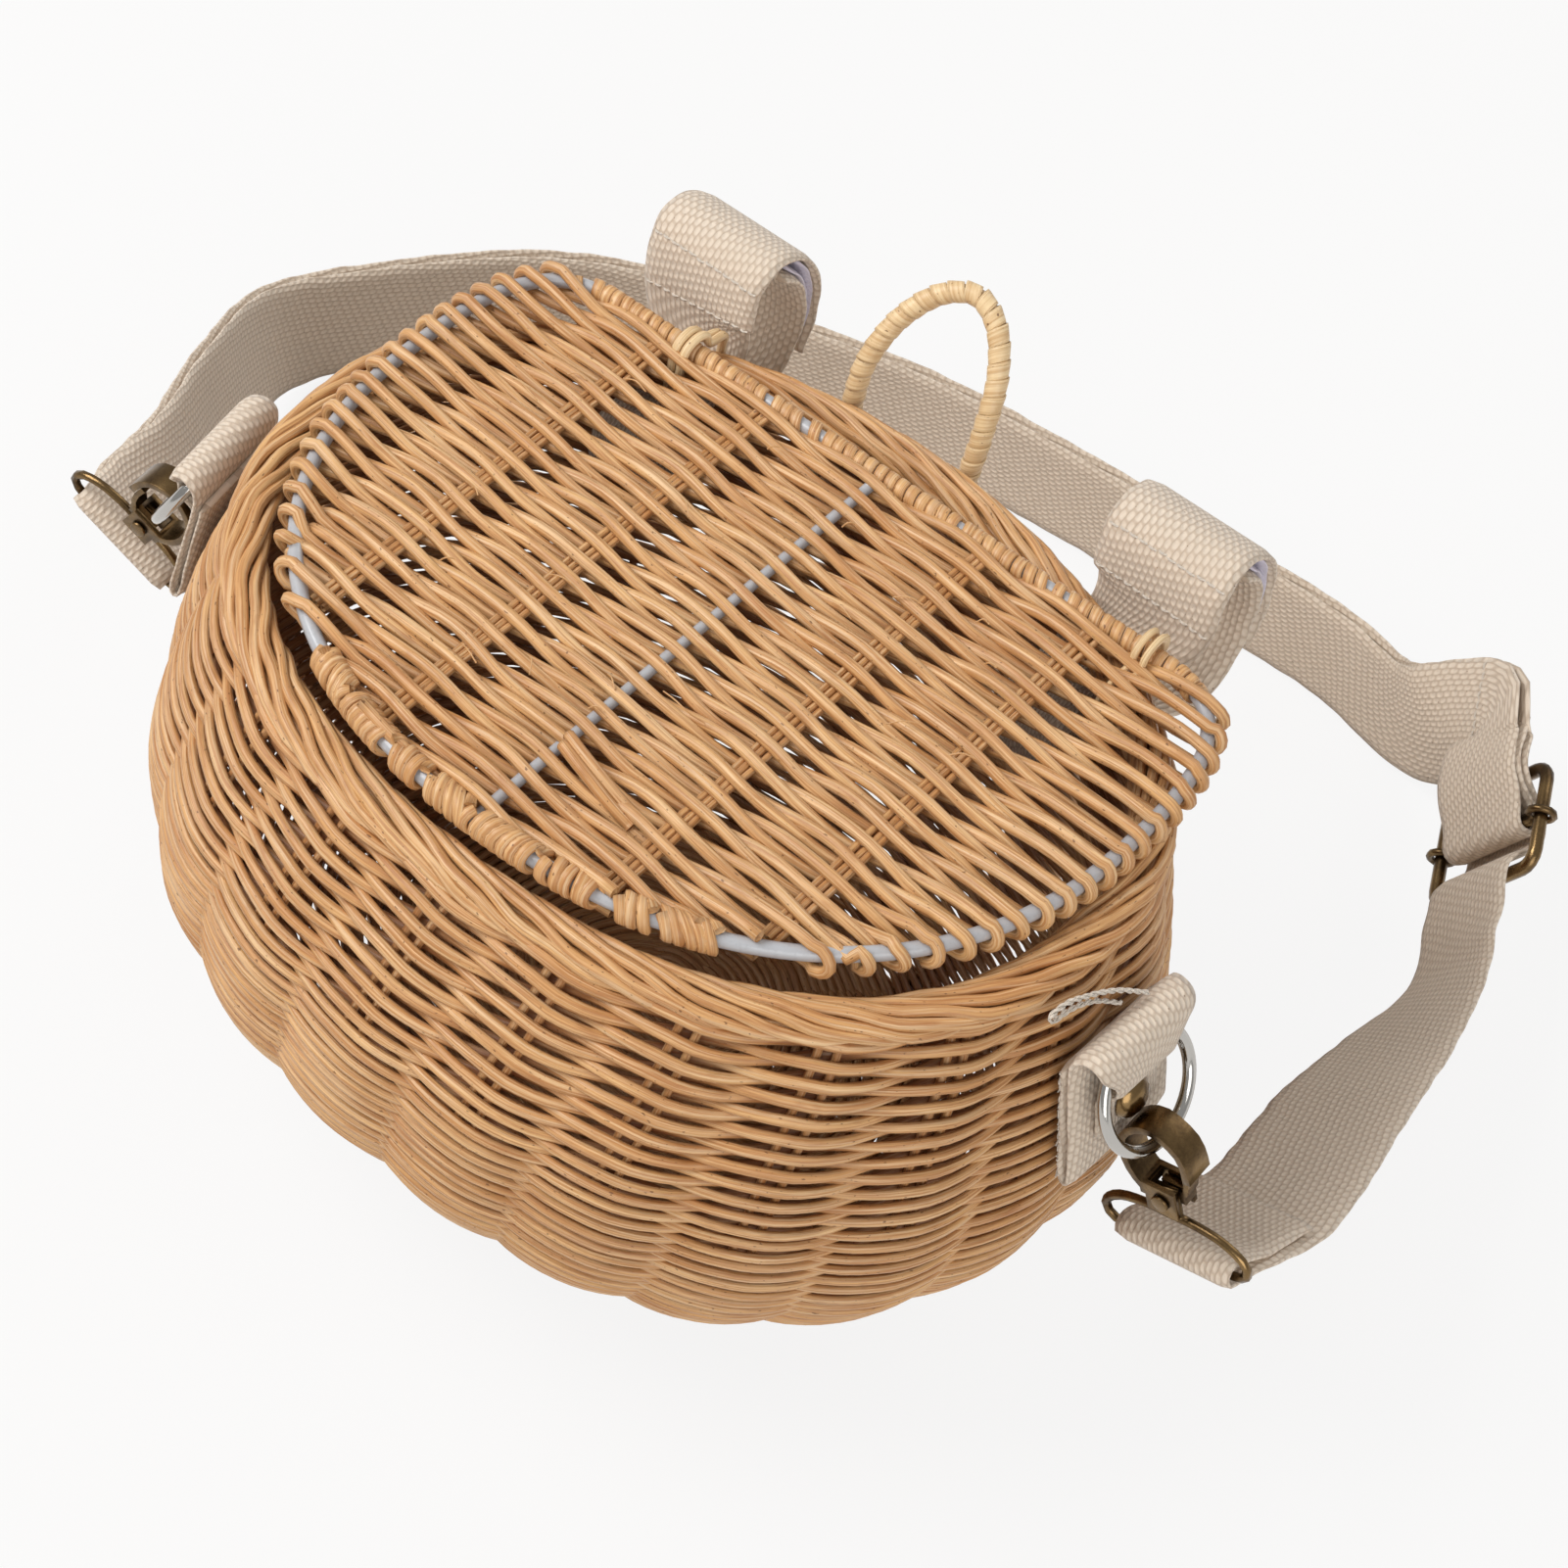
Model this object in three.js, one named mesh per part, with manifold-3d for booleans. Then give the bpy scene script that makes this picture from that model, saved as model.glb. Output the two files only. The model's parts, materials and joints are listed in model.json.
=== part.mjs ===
// Half-round wicker bicycle basket with a hinged woven lid, two webbing handlebar loops
// and a webbing shoulder strap on trigger clasps. Millimetres, +Z up, floor at z = 0.
import * as THREE from 'three';
import Module from 'manifold-3d';

const wasm = await Module();
wasm.setup();
const { Manifold, Mesh } = wasm;

// Driving sizes
const RIM_HEIGHT = 170;
const LID_HALF_WIDTH = 117.5;
const LID_DEPTH = 155;
const WEBBING_WIDTH = 38;
const WEBBING = 2.0;
const WALL = 4.6;
const LOBE = 1.7;
const STAKES = 21;
const STAKE_WIDTH = 5.6;
const STAKE_THICKNESS = 2.4;
const STAKE_SLANT = 0.24;
const BORDER_WIDTH = 12;
const BORDER_HEIGHT = 10;
const BASE_THICKNESS = 4.7;
const LID_WIRE = 1.6;
const LID_HALF_THICKNESS = 3.4;
const LID_Z = RIM_HEIGHT + 3.8;
const RING_RADIUS = 15.65;
const RING_WIRE = 1.7;
const LOOP_WIRE = 1.3;
const GAP = 0.35;

// Body profile from rim (0) to floor (1): half width, front depth and back depth
const BACK_EDGE = 58;
const CENTRE_Y = BACK_EDGE - 66;
const LEVELS = [0, 0.12, 0.28, 0.45, 0.62, 0.8, 1];
const HALF_WIDTH = [126, 133, 139, 143, 140, 121, 84];
const FRONT = [100, 112, 124, 125, 120, 100, 48];
const BACK = [86, 87, 88, 87, 84, 77, 62];
const FRONT_POWER = 2.27;
const BACK_POWER = 1.95;

function hermite(xs, ys, x) {
  let i = 0;
  while (i < xs.length - 2 && x > xs[i + 1]) i += 1;
  const slope = (k) => {
    if (k <= 0) return (ys[1] - ys[0]) / (xs[1] - xs[0]);
    const n = xs.length - 1;
    if (k >= n) return (ys[n] - ys[n - 1]) / (xs[n] - xs[n - 1]);
    return (ys[k + 1] - ys[k - 1]) / (xs[k + 1] - xs[k - 1]);
  };
  const h = xs[i + 1] - xs[i];
  const s = (x - xs[i]) / h;
  const a = 2 * s ** 3 - 3 * s ** 2 + 1;
  const b = s ** 3 - 2 * s ** 2 + s;
  const c = -2 * s ** 3 + 3 * s ** 2;
  const d = s ** 3 - s ** 2;
  return a * ys[i] + b * h * slope(i) + c * ys[i + 1] + d * h * slope(i + 1);
}

function skin(level, angle) {
  const c = Math.cos(angle);
  const s = Math.sin(angle);
  const n = s > 0 ? BACK_POWER : FRONT_POWER;
  const r = 1 / (Math.abs(c) ** n + Math.abs(s) ** n) ** (1 / n);
  const deep = s > 0 ? hermite(LEVELS, BACK, level) : hermite(LEVELS, FRONT, level);
  const x = hermite(LEVELS, HALF_WIDTH, level) * r * c;
  return new THREE.Vector3(x, CENTRE_Y + deep * r * s, RIM_HEIGHT * (1 - level));
}

function skinNormal(level, angle) {
  const e = 0.004;
  const across = skin(level, angle + e).sub(skin(level, angle - e));
  const down = skin(Math.min(level + e, 1), angle).sub(skin(Math.max(level - e, 0), angle));
  return down.cross(across).normalize();
}

// Angles spaced by arc length round the widest level, so that stakes sit evenly
const FINE = 1440;
const ARC = [0];
for (let i = 1; i <= FINE; i += 1) {
  const a = skin(0.45, ((i - 1) / FINE) * 2 * Math.PI);
  const b = skin(0.45, (i / FINE) * 2 * Math.PI);
  ARC.push(ARC[i - 1] + a.distanceTo(b));
}
const GIRTH = ARC[FINE];

function turnToAngle(turn) {
  const whole = Math.floor(turn);
  const target = (turn - whole) * GIRTH;
  let lo = 0;
  let hi = FINE;
  while (hi - lo > 1) {
    const mid = (lo + hi) >> 1;
    if (ARC[mid] <= target) lo = mid;
    else hi = mid;
  }
  const s = (target - ARC[lo]) / (ARC[hi] - ARC[lo]);
  return ((lo + s) / FINE + whole) * 2 * Math.PI;
}

const STAKE_PHASE = 0.0085;
const slantAngle = (turn, level) => turnToAngle(turn) + STAKE_SLANT * (0.3 - level);

function girthAt(level) {
  let sum = 0;
  for (let i = 0; i < 72; i += 1) {
    sum += skin(level, (i / 72) * 2 * Math.PI).distanceTo(skin(level, ((i + 1) / 72) * 2 * Math.PI));
  }
  return sum;
}

// Mesh helpers
function meshOf(positions, faces) {
  let volume = 0;
  const v = (i) => new THREE.Vector3(positions[3 * i], positions[3 * i + 1], positions[3 * i + 2]);
  for (const [a, b, c] of faces) volume += v(a).dot(v(b).cross(v(c)));
  const geometry = new THREE.BufferGeometry();
  geometry.setAttribute('position', new THREE.Float32BufferAttribute(positions, 3));
  const order = volume < 0 ? faces.map(([a, b, c]) => [a, c, b]) : faces;
  geometry.setIndex(order.flat());
  return geometry;
}

// Rings of points joined one to the next; open lofts are capped at both ends
function loft(rings, closed = false) {
  const n = rings[0].length;
  const positions = rings.flat().flatMap((p) => [p.x, p.y, p.z]);
  const faces = [];
  const last = closed ? rings.length : rings.length - 1;
  for (let i = 0; i < last; i += 1) {
    const a = i * n;
    const b = ((i + 1) % rings.length) * n;
    for (let j = 0; j < n; j += 1) {
      const k = (j + 1) % n;
      faces.push([a + j, b + j, b + k], [a + j, b + k, a + k]);
    }
  }
  if (!closed) {
    for (const [ring, flip] of [[0, false], [rings.length - 1, true]]) {
      const centre = new THREE.Vector3();
      for (const p of rings[ring]) centre.add(p);
      centre.multiplyScalar(1 / n);
      const c = positions.length / 3;
      positions.push(centre.x, centre.y, centre.z);
      for (let j = 0; j < n; j += 1) {
        const k = (j + 1) % n;
        const a = ring * n;
        faces.push(flip ? [c, a + k, a + j] : [c, a + j, a + k]);
      }
    }
  }
  return meshOf(positions, faces);
}

const V = (x, y, z) => new THREE.Vector3(x, y, z);

function tangents(points, closed) {
  const n = points.length;
  return points.map((p, i) => {
    const a = closed ? points[(i + n - 1) % n] : points[Math.max(i - 1, 0)];
    const b = closed ? points[(i + 1) % n] : points[Math.min(i + 1, n - 1)];
    return b.clone().sub(a).normalize();
  });
}

// Round bar along a path; in a closed path the start and end frames meet
function tube(points, radius, sides = 8, closed = false) {
  const tan = tangents(points, closed);
  let side = Math.abs(tan[0].z) < 0.9 ? V(0, 0, 1) : V(1, 0, 0);
  side = side.sub(tan[0].clone().multiplyScalar(side.dot(tan[0]))).normalize();
  const first = side.clone();
  const frames = points.map((p, i) => {
    side = side.clone().sub(tan[i].clone().multiplyScalar(side.dot(tan[i]))).normalize();
    return side.clone();
  });
  let twist = 0;
  if (closed) {
    const end = side.clone().sub(tan[0].clone().multiplyScalar(side.dot(tan[0]))).normalize();
    twist = Math.atan2(tan[0].dot(end.clone().cross(first)), end.dot(first));
  }
  const rings = points.map((p, i) => {
    const a = frames[i].clone().applyAxisAngle(tan[i], closed ? (twist * i) / points.length : 0);
    const b = tan[i].clone().cross(a);
    const r = Array.isArray(radius) ? radius[i] : radius;
    return Array.from({ length: sides }, (_, k) => {
      const q = ((k + 0.5) / sides) * 2 * Math.PI;
      return p.clone().addScaledVector(a, r * Math.cos(q)).addScaledVector(b, r * Math.sin(q));
    });
  });
  return loft(rings, closed);
}

// Flat band along a path: width directions and half widths are given per point
function band(points, widths, half, thickness = WEBBING) {
  const tan = tangents(points, false);
  const rings = points.map((p, i) => {
    const w = widths[i].clone().sub(tan[i].clone().multiplyScalar(widths[i].dot(tan[i]))).normalize();
    const n = tan[i].clone().cross(w);
    const h = Array.isArray(half) ? half[i] : half;
    const t = thickness / 2;
    return [[-h, -t], [h, -t], [h, t], [-h, t]].map(([a, b]) => (
      p.clone().addScaledVector(w, a).addScaledVector(n, b)));
  });
  return loft(rings);
}

// Solid of revolution about an axis; the profile runs from r = 0 to r = 0
function turned(profile, origin, axis, sides = 20) {
  const z = axis.clone().normalize();
  let x = Math.abs(z.z) < 0.9 ? V(0, 0, 1) : V(1, 0, 0);
  x = x.sub(z.clone().multiplyScalar(x.dot(z))).normalize();
  const y = z.clone().cross(x);
  const positions = [];
  const faces = [];
  const put = (r, h, q) => {
    const p = origin.clone().addScaledVector(z, h);
    p.addScaledVector(x, r * Math.cos(q)).addScaledVector(y, r * Math.sin(q));
    positions.push(p.x, p.y, p.z);
  };
  const inner = profile.slice(1, -1);
  put(0, profile[0][1], 0);
  for (const [r, h] of inner) {
    for (let k = 0; k < sides; k += 1) put(r, h, (k / sides) * 2 * Math.PI);
  }
  put(0, profile[profile.length - 1][1], 0);
  const end = positions.length / 3 - 1;
  for (let k = 0; k < sides; k += 1) {
    const l = (k + 1) % sides;
    faces.push([0, 1 + k, 1 + l]);
    for (let i = 0; i < inner.length - 1; i += 1) {
      const a = 1 + i * sides;
      const b = a + sides;
      faces.push([a + k, b + k, b + l], [a + k, b + l, a + l]);
    }
    const a = 1 + (inner.length - 1) * sides;
    faces.push([a + k, end, a + l]);
  }
  return meshOf(positions, faces);
}

function smooth(points, count, closed = false) {
  const curve = new THREE.CatmullRomCurve3(points, closed, 'centripetal');
  const list = curve.getSpacedPoints(count);
  if (closed) list.pop();
  return list;
}

// Solid cutting
function toManifold(geometry) {
  const index = geometry.index.array;
  const mesh = new Mesh({
    numProp: 3,
    vertProperties: new Float32Array(geometry.attributes.position.array),
    triVerts: new Uint32Array(index),
  });
  return new Manifold(mesh);
}

function toGeometry(manifold) {
  const mesh = manifold.getMesh();
  const geometry = new THREE.BufferGeometry();
  geometry.setAttribute('position', new THREE.BufferAttribute(new Float32Array(mesh.vertProperties), 3));
  geometry.setIndex(new THREE.BufferAttribute(new Uint32Array(mesh.triVerts), 1));
  return geometry;
}

function cut(geometry, cutters) {
  let body = toManifold(geometry);
  for (const c of cutters) body = body.subtract(toManifold(c));
  return toGeometry(body);
}

function join(pieces, cutters = []) {
  let body = toManifold(pieces[0]);
  for (const p of pieces.slice(1)) body = body.add(toManifold(p));
  for (const c of cutters) body = body.subtract(toManifold(c));
  return toGeometry(body);
}

// Box between two corners, in a frame given by origin and three directions
function block(lo, hi, frame = null) {
  const rings = [lo[2], hi[2]].map((z) => (
    [[lo[0], lo[1]], [hi[0], lo[1]], [hi[0], hi[1]], [lo[0], hi[1]]].map(([x, y]) => (
      frame ? frame(x, y, z) : V(x, y, z)))));
  return loft(rings);
}

const frameOf = (origin, a, b, c) => (x, y, z) => (
  origin.clone().addScaledVector(a, x).addScaledVector(b, y).addScaledVector(c, z));

const group = new THREE.Group();
group.name = 'bicycle_basket';
const COLOURS = {
  rattan: 0xd9a766,
  pale_cane: 0xe4cfa0,
  coated_wire: 0xd8dbe0,
  cotton: 0xe6dccb,
  hook_tape: 0xe9e4ee,
  brass: 0x7d6540,
  chrome: 0xdfe1e3,
};
const MATERIALS = Object.fromEntries(Object.entries(COLOURS).map(([name, color]) => (
  [name, new THREE.MeshStandardMaterial({ color, name })])));

function add(name, geometry, material) {
  const flat = geometry.index ? geometry.toNonIndexed() : geometry;
  flat.deleteAttribute('normal');
  flat.computeVertexNormals();
  const mesh = new THREE.Mesh(flat, MATERIALS[material]);
  mesh.name = name;
  group.add(mesh);
}

// Woven wall: rows that stand out over each stake, with a channel inside for each stake
const WALL_TOP = (BORDER_HEIGHT + 0.3) / RIM_HEIGHT;
const WALL_END = 1 - (BASE_THICKNESS + 0.3) / RIM_HEIGHT;
const RINGS = [WALL_TOP, 0.18, 0.33, 0.49, 0.65, 0.79, 0.885, WALL_END];
const CHANNEL = STAKE_THICKNESS + GAP + 0.25;
const ROWS = 27;
// Height over the skin at a stake and between stakes, on a row and between rows
const ON_ROW = [LOBE, -1.2];
const OFF_ROW = [-0.5, -2.4];

// Levels of the rows and of the grooves between them, even down the mean slope
function rowLevels() {
  const fine = 120;
  const levelAt = (i) => WALL_TOP + (i / fine) * (WALL_END - WALL_TOP);
  const reach = [0];
  for (let i = 1; i <= fine; i += 1) {
    let sum = 0;
    for (let k = 0; k < 36; k += 1) {
      const q = (k / 36) * 2 * Math.PI;
      sum += skin(levelAt(i - 1), q).distanceTo(skin(levelAt(i), q));
    }
    reach.push(reach[i - 1] + sum / 36);
  }
  const levels = [];
  let i = 1;
  for (let k = 0; k <= 2 * ROWS; k += 1) {
    const target = (k / (2 * ROWS)) * reach[fine];
    while (i < fine && reach[i] < target) i += 1;
    levels.push(levelAt(i - 1 + (target - reach[i - 1]) / (reach[i] - reach[i - 1])));
  }
  return levels;
}

function outerRing(level, index) {
  const heights = index % 2 === 1 ? ON_ROW : OFF_ROW;
  const flush = index === 0 || index === 2 * ROWS;
  return Array.from({ length: 2 * STAKES }, (_, k) => {
    const angle = slantAngle(k / (2 * STAKES) + STAKE_PHASE, level);
    const point = skin(level, angle).addScaledVector(skinNormal(level, angle), heights[k % 2]);
    return flush ? point.setZ(RIM_HEIGHT * (1 - level)) : point;
  });
}

function innerRing(level) {
  const girth = girthAt(level);
  const points = [];
  for (let k = 0; k < STAKES; k += 1) {
    for (const [offset, channel] of [[-4.5, 0], [-3.35, 1], [3.35, 1], [4.5, 0], [null, 0]]) {
      const turn = k / STAKES + STAKE_PHASE + (offset === null ? 0.5 / STAKES : offset / girth);
      const angle = slantAngle(turn, level);
      const depth = -WALL + (channel ? CHANNEL : 0);
      const point = skin(level, angle).addScaledVector(skinNormal(level, angle), depth);
      points.push(level === WALL_TOP || level === WALL_END ? point.setZ(RIM_HEIGHT * (1 - level)) : point);
    }
  }
  return points;
}

const moved = (ring, z) => ring.map((p) => p.clone().setZ(p.z + z));
const innerRings = RINGS.map(innerRing);
const hollow = loft([moved(innerRings[0], 3), ...innerRings, moved(innerRings[innerRings.length - 1], -3)]);
const wall = cut(loft(rowLevels().map(outerRing)), [hollow]);

// Stakes
const stakeLevels = [0.072, ...RINGS.slice(1, -1), 0.962];
for (let k = 0; k < STAKES; k += 1) {
  const rings = stakeLevels.map((level) => {
    const girth = girthAt(level);
    const turn = k / STAKES + STAKE_PHASE;
    const half = (STAKE_WIDTH / 2) / girth;
    const across = skin(level, slantAngle(turn + half, level)).sub(skin(level, slantAngle(turn - half, level)));
    across.normalize();
    const angle = slantAngle(turn, level);
    const normal = skinNormal(level, angle);
    const centre = skin(level, angle).addScaledVector(normal, -WALL + STAKE_THICKNESS / 2 - 0.1);
    const w = STAKE_WIDTH / 2;
    const t = STAKE_THICKNESS / 2;
    return [[-w, 0], [-w * 0.6, -t], [w * 0.6, -t], [w, 0], [w * 0.6, t], [-w * 0.6, t]].map(([a, b]) => (
      centre.clone().addScaledVector(across, a).addScaledVector(normal, b)));
  });
  add(`body_stake_${String(k + 1).padStart(2, '0')}`, loft(rings), 'rattan');
}

// Woven base plate
const baseSteps = 48;
const baseRings = [0, BASE_THICKNESS].map((z) => Array.from({ length: baseSteps }, (_, i) => {
  const angle = turnToAngle(i / baseSteps);
  const p = skin(1, angle).addScaledVector(skinNormal(1, angle).setZ(0).normalize(), -0.8);
  return V(p.x, p.y, z);
}));
add('woven_base', loft(baseRings), 'rattan');

// Rolled rim border
const borderSteps = 72;
const borderRings = Array.from({ length: borderSteps }, (_, i) => {
  const angle = turnToAngle(i / borderSteps);
  const normal = skinNormal(0, angle).setZ(0).normalize();
  const mid = skin(0, angle).addScaledVector(normal, -WALL / 2);
  const w = BORDER_WIDTH / 2;
  const h = BORDER_HEIGHT;
  return [[-w + 2, -h], [w - 2, -h], [w, -h + 3], [w, -3], [w - 2.5, 0], [-w + 2.5, 0], [-w, -3], [-w, -h + 3]]
    .map(([a, z]) => mid.clone().addScaledVector(normal, a).setZ(RIM_HEIGHT + z));
});
add('rim_border', loft(borderRings, true), 'rattan');

// Lid outline at the wire centre
const lidFrontY = BACK_EDGE - 0.3 * LID_DEPTH;
const lidControl = [];
for (let i = 0; i <= 16; i += 1) {
  const q = Math.PI + (i / 16) * Math.PI;
  const p = 2 / 2.25;
  lidControl.push(V(
    LID_HALF_WIDTH * Math.sign(Math.cos(q)) * Math.abs(Math.cos(q)) ** p,
    lidFrontY - 0.7 * LID_DEPTH * Math.abs(Math.sin(q)) ** p,
    LID_Z,
  ));
}
const corner = [[117, -30], [114.4, -16], [108, -5.5], [98, -0.6], [88, 0], [72, 0], [48, 0], [24, 0]];
for (const [x, y] of corner) lidControl.push(V(x, BACK_EDGE + y, LID_Z));
lidControl.push(V(0, BACK_EDGE, LID_Z));
for (const [x, y] of [...corner].reverse()) lidControl.push(V(-x, BACK_EDGE + y, LID_Z));
const lidWire = smooth(lidControl, 60, true);
add('lid_frame_wire', tube(lidWire, LID_WIRE, 8, true), 'coated_wire');
add('lid_center_bar', tube([V(0, BACK_EDGE - 2.0, LID_Z), V(0, BACK_EDGE - 80, LID_Z),
  V(0, BACK_EDGE - LID_DEPTH + 2.0, LID_Z)], LID_WIRE, 8), 'coated_wire');
const barNotch = block([-1.95, BACK_EDGE - LID_DEPTH + 1.7, LID_Z - 1.95], [1.95, BACK_EDGE - 1.7, LID_Z + 1.95]);

const LID_STAKES = [-72, -36, 36, 72];
function lidFrontAt(x) {
  let best = 0;
  for (let i = 0; i < lidWire.length; i += 1) {
    const a = lidWire[i];
    const b = lidWire[(i + 1) % lidWire.length];
    if ((a.x - x) * (b.x - x) <= 0 && a.y < lidFrontY + 20 && Math.abs(b.x - a.x) > 1e-6) {
      best = a.y + ((x - a.x) / (b.x - a.x)) * (b.y - a.y);
    }
  }
  return best;
}
LID_STAKES.forEach((x, i) => {
  const rings = [BACK_EDGE - 4.2, lidFrontAt(x) + 6.4].map((y) => (
    [[-2.6, 0], [-1.5, -1.2], [1.5, -1.2], [2.6, 0], [1.5, 1.2], [-1.5, 1.2]].map(([a, z]) => (
      V(x + a, y, LID_Z + z)))));
  add(`lid_stake_${i + 1}`, loft(rings), 'rattan');
});

// Middle of the border at a given x on the back
function borderMid(x) {
  let best = null;
  for (let i = 1; i < 720; i += 1) {
    const angle = (i / 720) * Math.PI;
    const normal = skinNormal(0, angle).setZ(0).normalize();
    const p = skin(0, angle).addScaledVector(normal, -WALL / 2);
    if (best === null || Math.abs(p.x - x) < Math.abs(best.p.x - x)) best = { p, normal };
  }
  return best;
}
const tieRadius = 1.3;
const TIE_X = [-65, 86];
const tieSpan = TIE_X.map((x) => {
  const { p, normal } = borderMid(x);
  const reach = BORDER_WIDTH / 2 / Math.max(normal.y, 0.3) + Math.abs(normal.x / normal.y) * 2.6;
  const off = reach + GAP + tieRadius + 0.2;
  return { x, front: Math.min(p.y - off - BACK_EDGE, -6.2), rear: p.y + off - BACK_EDGE };
});

// Lid weave: slab inside the wire, with lips that close round the wire on the open sides
const BACK_WRAP_HALF = 96;
const frontWrapped = (p) => p.y < lidFrontY && (p.x < 0 ? p.y < BACK_EDGE - 72 : p.x < 76);
const backWrapped = (p) => p.y > BACK_EDGE - 1.5 && Math.abs(p.x) < BACK_WRAP_HALF + 3;
const lipSection = [
  [-2.6, 3.4], [1.0, 3.4], [2.6, 2.5], [1.3, 1.75], [0, 2.1], [-1.5, 1.5], [-2.1, 0],
  [-1.5, -1.5], [0, -2.1], [1.3, -1.75], [2.6, -2.5], [1.0, -3.4], [-2.6, -3.4],
];
const plainSection = [
  [-4.6, 3.4], [-4.4, 3.4], [-4.25, 2.9], [-4.25, 1.75], [-4.25, 1.4], [-4.25, 0.9], [-4.25, 0],
  [-4.25, -0.9], [-4.25, -1.4], [-4.25, -1.75], [-4.25, -2.9], [-4.4, -3.4], [-4.6, -3.4],
];
const wireTan = tangents(lidWire, true);
const weaveRings = lidWire.map((p, i) => {
  const out = wireTan[i].clone().cross(V(0, 0, 1));
  const section = frontWrapped(p) || backWrapped(p) ? plainSection : lipSection;
  return section.map(([d, z]) => p.clone().addScaledVector(out, d).setZ(LID_Z + z));
});
const weavePositions = weaveRings.flat().flatMap((p) => [p.x, p.y, p.z]);
const weaveFaces = [];
const sectionCount = lipSection.length;
for (let i = 0; i < weaveRings.length; i += 1) {
  const a = i * sectionCount;
  const b = ((i + 1) % weaveRings.length) * sectionCount;
  for (let j = 0; j < sectionCount - 1; j += 1) {
    weaveFaces.push([a + j, b + j, b + j + 1], [a + j, b + j + 1, a + j + 1]);
  }
}
for (const [z, j, flip] of [[3.4, 0, false], [-3.4, sectionCount - 1, true]]) {
  const c = weavePositions.length / 3;
  weavePositions.push(0, BACK_EDGE - 70, LID_Z + z);
  for (let i = 0; i < weaveRings.length; i += 1) {
    const a = i * sectionCount + j;
    const b = ((i + 1) % weaveRings.length) * sectionCount + j;
    weaveFaces.push(flip ? [c, a, b] : [c, b, a]);
  }
}
const weaveCuts = LID_STAKES.map((x) => (
  block([x - 2.95, lidFrontAt(x) - 2, LID_Z - 1.55], [x + 2.95, BACK_EDGE, LID_Z + 1.55])));
weaveCuts.push(block([-1.95, BACK_EDGE - LID_DEPTH - 1, LID_Z - 1.95], [1.95, BACK_EDGE, LID_Z + 1.95]));
// Valleys between the lid stakes, above and below, where the rods cross
const LID_PITCH = LID_STAKES[3] - LID_STAKES[2];
const VALLEY = 2.0;
const valleyHalf = LID_PITCH / 2 - 3.4;
for (const x of [-2.5, -1.5, -0.5, 0.5, 1.5, 2.5].map((k) => k * LID_PITCH)) {
  const ends = [lidFrontAt(x + Math.sign(x) * valleyHalf) + 7, BACK_EDGE - 8];
  for (const way of [-1, 1]) {
    const top = LID_Z + way * LID_HALF_THICKNESS;
    const rings = ends.map((y) => [[-valleyHalf, 0], [-4, -VALLEY], [4, -VALLEY], [valleyHalf, 0], [0, 3]]
      .map(([a, z]) => V(x + a, y, top + way * z)));
    weaveCuts.push(loft(way > 0 ? rings : rings.reverse()));
  }
}
for (const { x, front } of tieSpan) {
  weaveCuts.push(block([x - 2.1, BACK_EDGE + Math.min(front, -9) - 2.2, LID_Z - 5], [x + 2.1, BACK_EDGE, LID_Z + 5]));
}
add('lid_weave', cut(meshOf(weavePositions, weaveFaces), weaveCuts), 'rattan');

// Cane sleeves wrapped on the lid wire: straight along the back, irregular along the front
function sleeve(points, inner, outer) {
  const tan = tangents(points, false);
  const rings = (r) => points.map((p, i) => {
    const a = V(0, 0, 1);
    const b = tan[i].clone().cross(a).normalize();
    return Array.from({ length: 8 }, (_, k) => {
      const q = ((k + 0.5) / 8) * 2 * Math.PI;
      return p.clone().addScaledVector(a, r * Math.cos(q)).addScaledVector(b, r * Math.sin(q));
    });
  });
  return loft([...rings(outer), ...rings(inner).reverse()], true);
}
const backRun = lidWire.filter((p) => backWrapped(p) && Math.abs(p.x) < BACK_WRAP_HALF);
add('lid_back_wrap', cut(sleeve(backRun, LID_WIRE + 0.45, 3.5), [barNotch]), 'pale_cane');
const frontIndex = lidWire.map((p, i) => i).filter((i) => frontWrapped(lidWire[i]));
const frontRun = frontIndex.slice(1, -1).map((i) => lidWire[i]);
add('lid_front_wrap', cut(sleeve(frontRun, LID_WIRE + 0.45, 3.9), [barNotch]), 'pale_cane');

// Cane ties holding the back wire of the lid to the border
tieSpan.forEach(({ x, front, rear }, i) => {
  const low = -BORDER_HEIGHT - GAP - tieRadius;
  const axis = LID_Z - RIM_HEIGHT;
  const path = [
    [5.5, axis], [4.1, axis + 4.1], [0, axis + 5.6], [-4.1, axis + 4.1], [-5.5, axis],
    [front + 0.5, 1.7], [front, -2.6], [front, -8], [front + 2.4, low],
    [(front + rear) / 2, low], [rear - 2.4, low], [rear, -8], [rear, -2.6], [Math.max(rear, 5.6) - 0.6, 1.2],
  ].map(([y, z]) => V(x, BACK_EDGE + y, RIM_HEIGHT + z));
  add(`hinge_tie_${i === 0 ? 'left' : 'right'}`, tube(smooth(path, 34, true), tieRadius, 6, true), 'pale_cane');
});

// Wall openings: tie notches, strap slots, hanging loop holes and rivet holes
const wallCuts = [];
for (const x of TIE_X) {
  const { p } = borderMid(x);
  wallCuts.push(block([x - 3.4, p.y - 40, RIM_HEIGHT - BORDER_HEIGHT - 3.6], [x + 3.4, p.y + 40, RIM_HEIGHT]));
}
const HANDLE_X = [{ slot: -68.5, loop: -78 }, { slot: 68.1, loop: 75 }];
const GATHERED = 10.2;
const SLOT_Z = [-15.6, -36.4];
for (const { slot } of HANDLE_X) {
  for (const z of SLOT_Z) {
    wallCuts.push(block([slot - GATHERED - 0.5, BACK_EDGE - 27, RIM_HEIGHT + z - 1.6],
      [slot + GATHERED + 0.5, BACK_EDGE + 32, RIM_HEIGHT + z + 1.6]));
  }
}

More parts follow.
